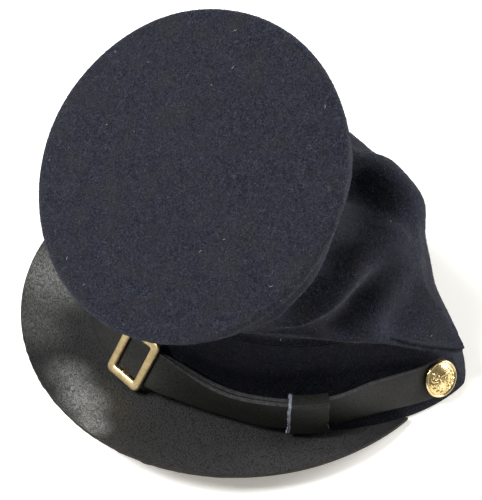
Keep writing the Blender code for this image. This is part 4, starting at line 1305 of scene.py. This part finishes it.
def make_detailed_button(name, distance, solid):
    """Makes a button whose front is a grid of heights in polar places, and whose back is turned."""
    rho = np.linspace(BUTTON_CENTRE, 1, BUTTON_RINGS)[:, None]
    turn = (np.arange(BUTTON_COLUMNS) * 2 * math.pi / BUTTON_COLUMNS)[None, :]
    x, y = rho * np.cos(turn), rho * np.sin(turn)
    field = BUTTON_BACK + (BUTTON_DOME - BUTTON_BACK) * (1 - (rho / FIELD_RADIUS) ** 2).clip(0)
    rim = np.sqrt(np.clip(1 - ((rho - RIM_MIDDLE) / RIM_HALF_WIDTH) ** 2, 0, 1))
    relief = np.maximum(shield_relief(x, y), leaf_relief(x, y)) * ramp(RELIEF_RADIUS - rho, RELIEF_FADE)
    beads = np.cos(turn * BEADS) * ramp(BEAD_HALF_WIDTH - np.abs(rho - BEAD_RADIUS), BEAD_HALF_WIDTH)
    height = np.maximum(field, BUTTON_BACK * RIM_FOOT + BUTTON_RIM * rim)
    height = height + BUTTON_RELIEF * relief + BEAD_HEIGHT * beads
    front = np.stack([x * BUTTON_RADIUS, y * BUTTON_RADIUS, height], axis=-1)
    back_profile = [(BUTTON_RADIUS * share, BUTTON_BACK * level) for share, level in BUTTON_BACK_PROFILE]
    rings = np.concatenate([front, turned_points(back_profile, BUTTON_COLUMNS)])
    points = np.concatenate([rings.reshape(-1, 3), [[0, 0, height[0].mean()], [0, 0, 0]]])
    matrix = wall_matrix(distance, SEAT_GAP + STRAP_WALL + LAYER_GAP)
    faces = turned_faces(len(rings), BUTTON_COLUMNS)
    make_piece(name, placed(matrix, points), faces, [gilt], [solid], sharp=0)


make_detailed_button("gilt_button_left", STRAP_HALF_LENGTH, "button_left")
make_detailed_button("gilt_button_right", -STRAP_HALF_LENGTH, "button_right")

# %% [markdown]
# ## Loose hairs and lint
#
# Fulled cloth is covered by short hairs that lie in all directions with their tips a little raised, and a
# dark cap gathers pale lint. Hairs are thin closed spikes and lint is curled closed strands, and both are
# scattered over the faces of the pieces by area. A particle system would do too, but plain meshes go through
# any export.

# %% Hairs
HAIR_LENGTH = 0.0016
HAIR_WIDTH = 0.00009
HAIR_DEPTH_SHARE = 0.8
HAIR_LENGTH_SHARES = (0.5, 1.3)
HAIR_LEAST_LIFT = 0.05
HAIRY_RIM_RINGS = 12


def scatter(piece, faces_kept, count, chance):
    """Random points with normals on the first faces of a piece, spread evenly by area."""
    mesh = piece.data
    mesh.calc_loop_triangles()
    corners = np.empty(len(mesh.loop_triangles) * 3, np.int32)
    owner = np.empty(len(mesh.loop_triangles), np.int32)
    mesh.loop_triangles.foreach_get("vertices", corners)
    mesh.loop_triangles.foreach_get("polygon_index", owner)
    spots = np.empty(len(mesh.vertices) * 3, np.float32)
    mesh.vertices.foreach_get("co", spots)
    corners = spots.reshape(-1, 3)[corners.reshape(-1, 3)[owner < faces_kept]].astype(float)
    normals = np.cross(corners[:, 1] - corners[:, 0], corners[:, 2] - corners[:, 0])
    area = np.linalg.norm(normals, axis=1)
    picked = chance.choice(len(corners), count, p=area / area.sum())
    first, second = chance.uniform(size=(2, count, 1))
    over = first + second > 1
    first, second = np.where(over, 1 - first, first), np.where(over, 1 - second, second)
    start, one, other = corners[picked].transpose(1, 0, 2)
    points = start + first * (one - start) + second * (other - start)
    return points - SHIFT, unit(normals[picked])


def lying(normals, chance):
    """Random directions along the surface."""
    return unit(np.cross(normals, unit(chance.normal(size=normals.shape))))


def make_hairs(name, piece, faces_kept, count, most_lift, seed):
    """Spikes that grow out of a piece at a low angle."""
    chance = np.random.default_rng(seed)
    roots, normals = scatter(piece, faces_kept, count, chance)
    along = lying(normals, chance)
    rise = chance.uniform(HAIR_LEAST_LIFT, most_lift, (count, 1))
    length = chance.uniform(*HAIR_LENGTH_SHARES, (count, 1))
    tips = roots + (along * (1 - rise) + normals * rise) * HAIR_LENGTH * length
    side = np.cross(normals, along) * HAIR_WIDTH / 2
    ridge = roots + normals * HAIR_WIDTH * HAIR_DEPTH_SHARE
    points = np.stack([roots - side, roots + side, ridge, tips], axis=1)
    spike = np.array([(0, 1, 3), (1, 2, 3), (2, 0, 3), (2, 1, 0)])
    faces = (np.arange(count)[:, None, None] * 4 + spike).reshape(-1, 3).tolist()
    return make_piece(name, points, faces, [hair_wool], sharp=0)


outer_crown_faces = (CROWN_ROWS - 1) * COLUMNS
outer_band_faces = (BAND_ROWS - 1) * COLUMNS
outer_top_faces = (TOP_FLAT_RINGS + HAIRY_RIM_RINGS) * TOP_COLUMNS
make_hairs("wool_top_hairs", flat_top, outer_top_faces, count=32000, most_lift=0.35, seed=81)
make_hairs("wool_crown_hairs", crown, outer_crown_faces, count=42000, most_lift=0.30, seed=82)
make_hairs("wool_band_hairs", band, outer_band_faces, count=16000, most_lift=0.30, seed=83)

# %% Lint
LINT_WIDTH = 0.00016
LINT_STEPS = 7
LINT_LENGTH = 0.0022
LINT_LENGTH_SHARES = (0.25, 1.0)
LINT_CURL = 0.35
LINT_LOFT = 0.0002


def make_lint(name, piece, faces_kept, count, seed):
    """Curled pale strands lying on a piece."""
    chance = np.random.default_rng(seed)
    roots, normals = scatter(piece, faces_kept, count, chance)
    along = lying(normals, chance)
    beside = np.cross(normals, along)
    run = LINT_LENGTH * chance.uniform(*LINT_LENGTH_SHARES, (count, 1))
    curl = chance.uniform(-LINT_CURL, LINT_CURL, (count, 1))
    rings = []
    for t in np.linspace(0, 1, LINT_STEPS):
        middle = roots + along * run * (t - 0.5) + beside * run * curl * math.sin(math.pi * t)
        middle = middle + normals * (LINT_WIDTH + LINT_LOFT * math.sin(math.pi * t))
        wide = LINT_WIDTH / 2 * (0.5 + 0.5 * math.sin(math.pi * t))
        ring = [middle - beside * wide, middle + beside * wide, middle + normals * wide]
        rings.append(np.stack(ring, axis=1))
    points = np.stack(rings, axis=1)
    last = 3 * (LINT_STEPS - 1)
    strand = grid_faces(LINT_STEPS, 3, False, True) + [[2, 1, 0], [last, last + 1, last + 2]]
    faces = [[i + 3 * LINT_STEPS * k for i in face] for k in range(count) for face in strand]
    return make_piece(name, points, faces, [lint_finish], sharp=0)


make_lint("lint_on_top", flat_top, TOP_FLAT_RINGS * TOP_COLUMNS, count=14, seed=91)
make_lint("lint_on_crown", crown, outer_crown_faces, count=9, seed=92)
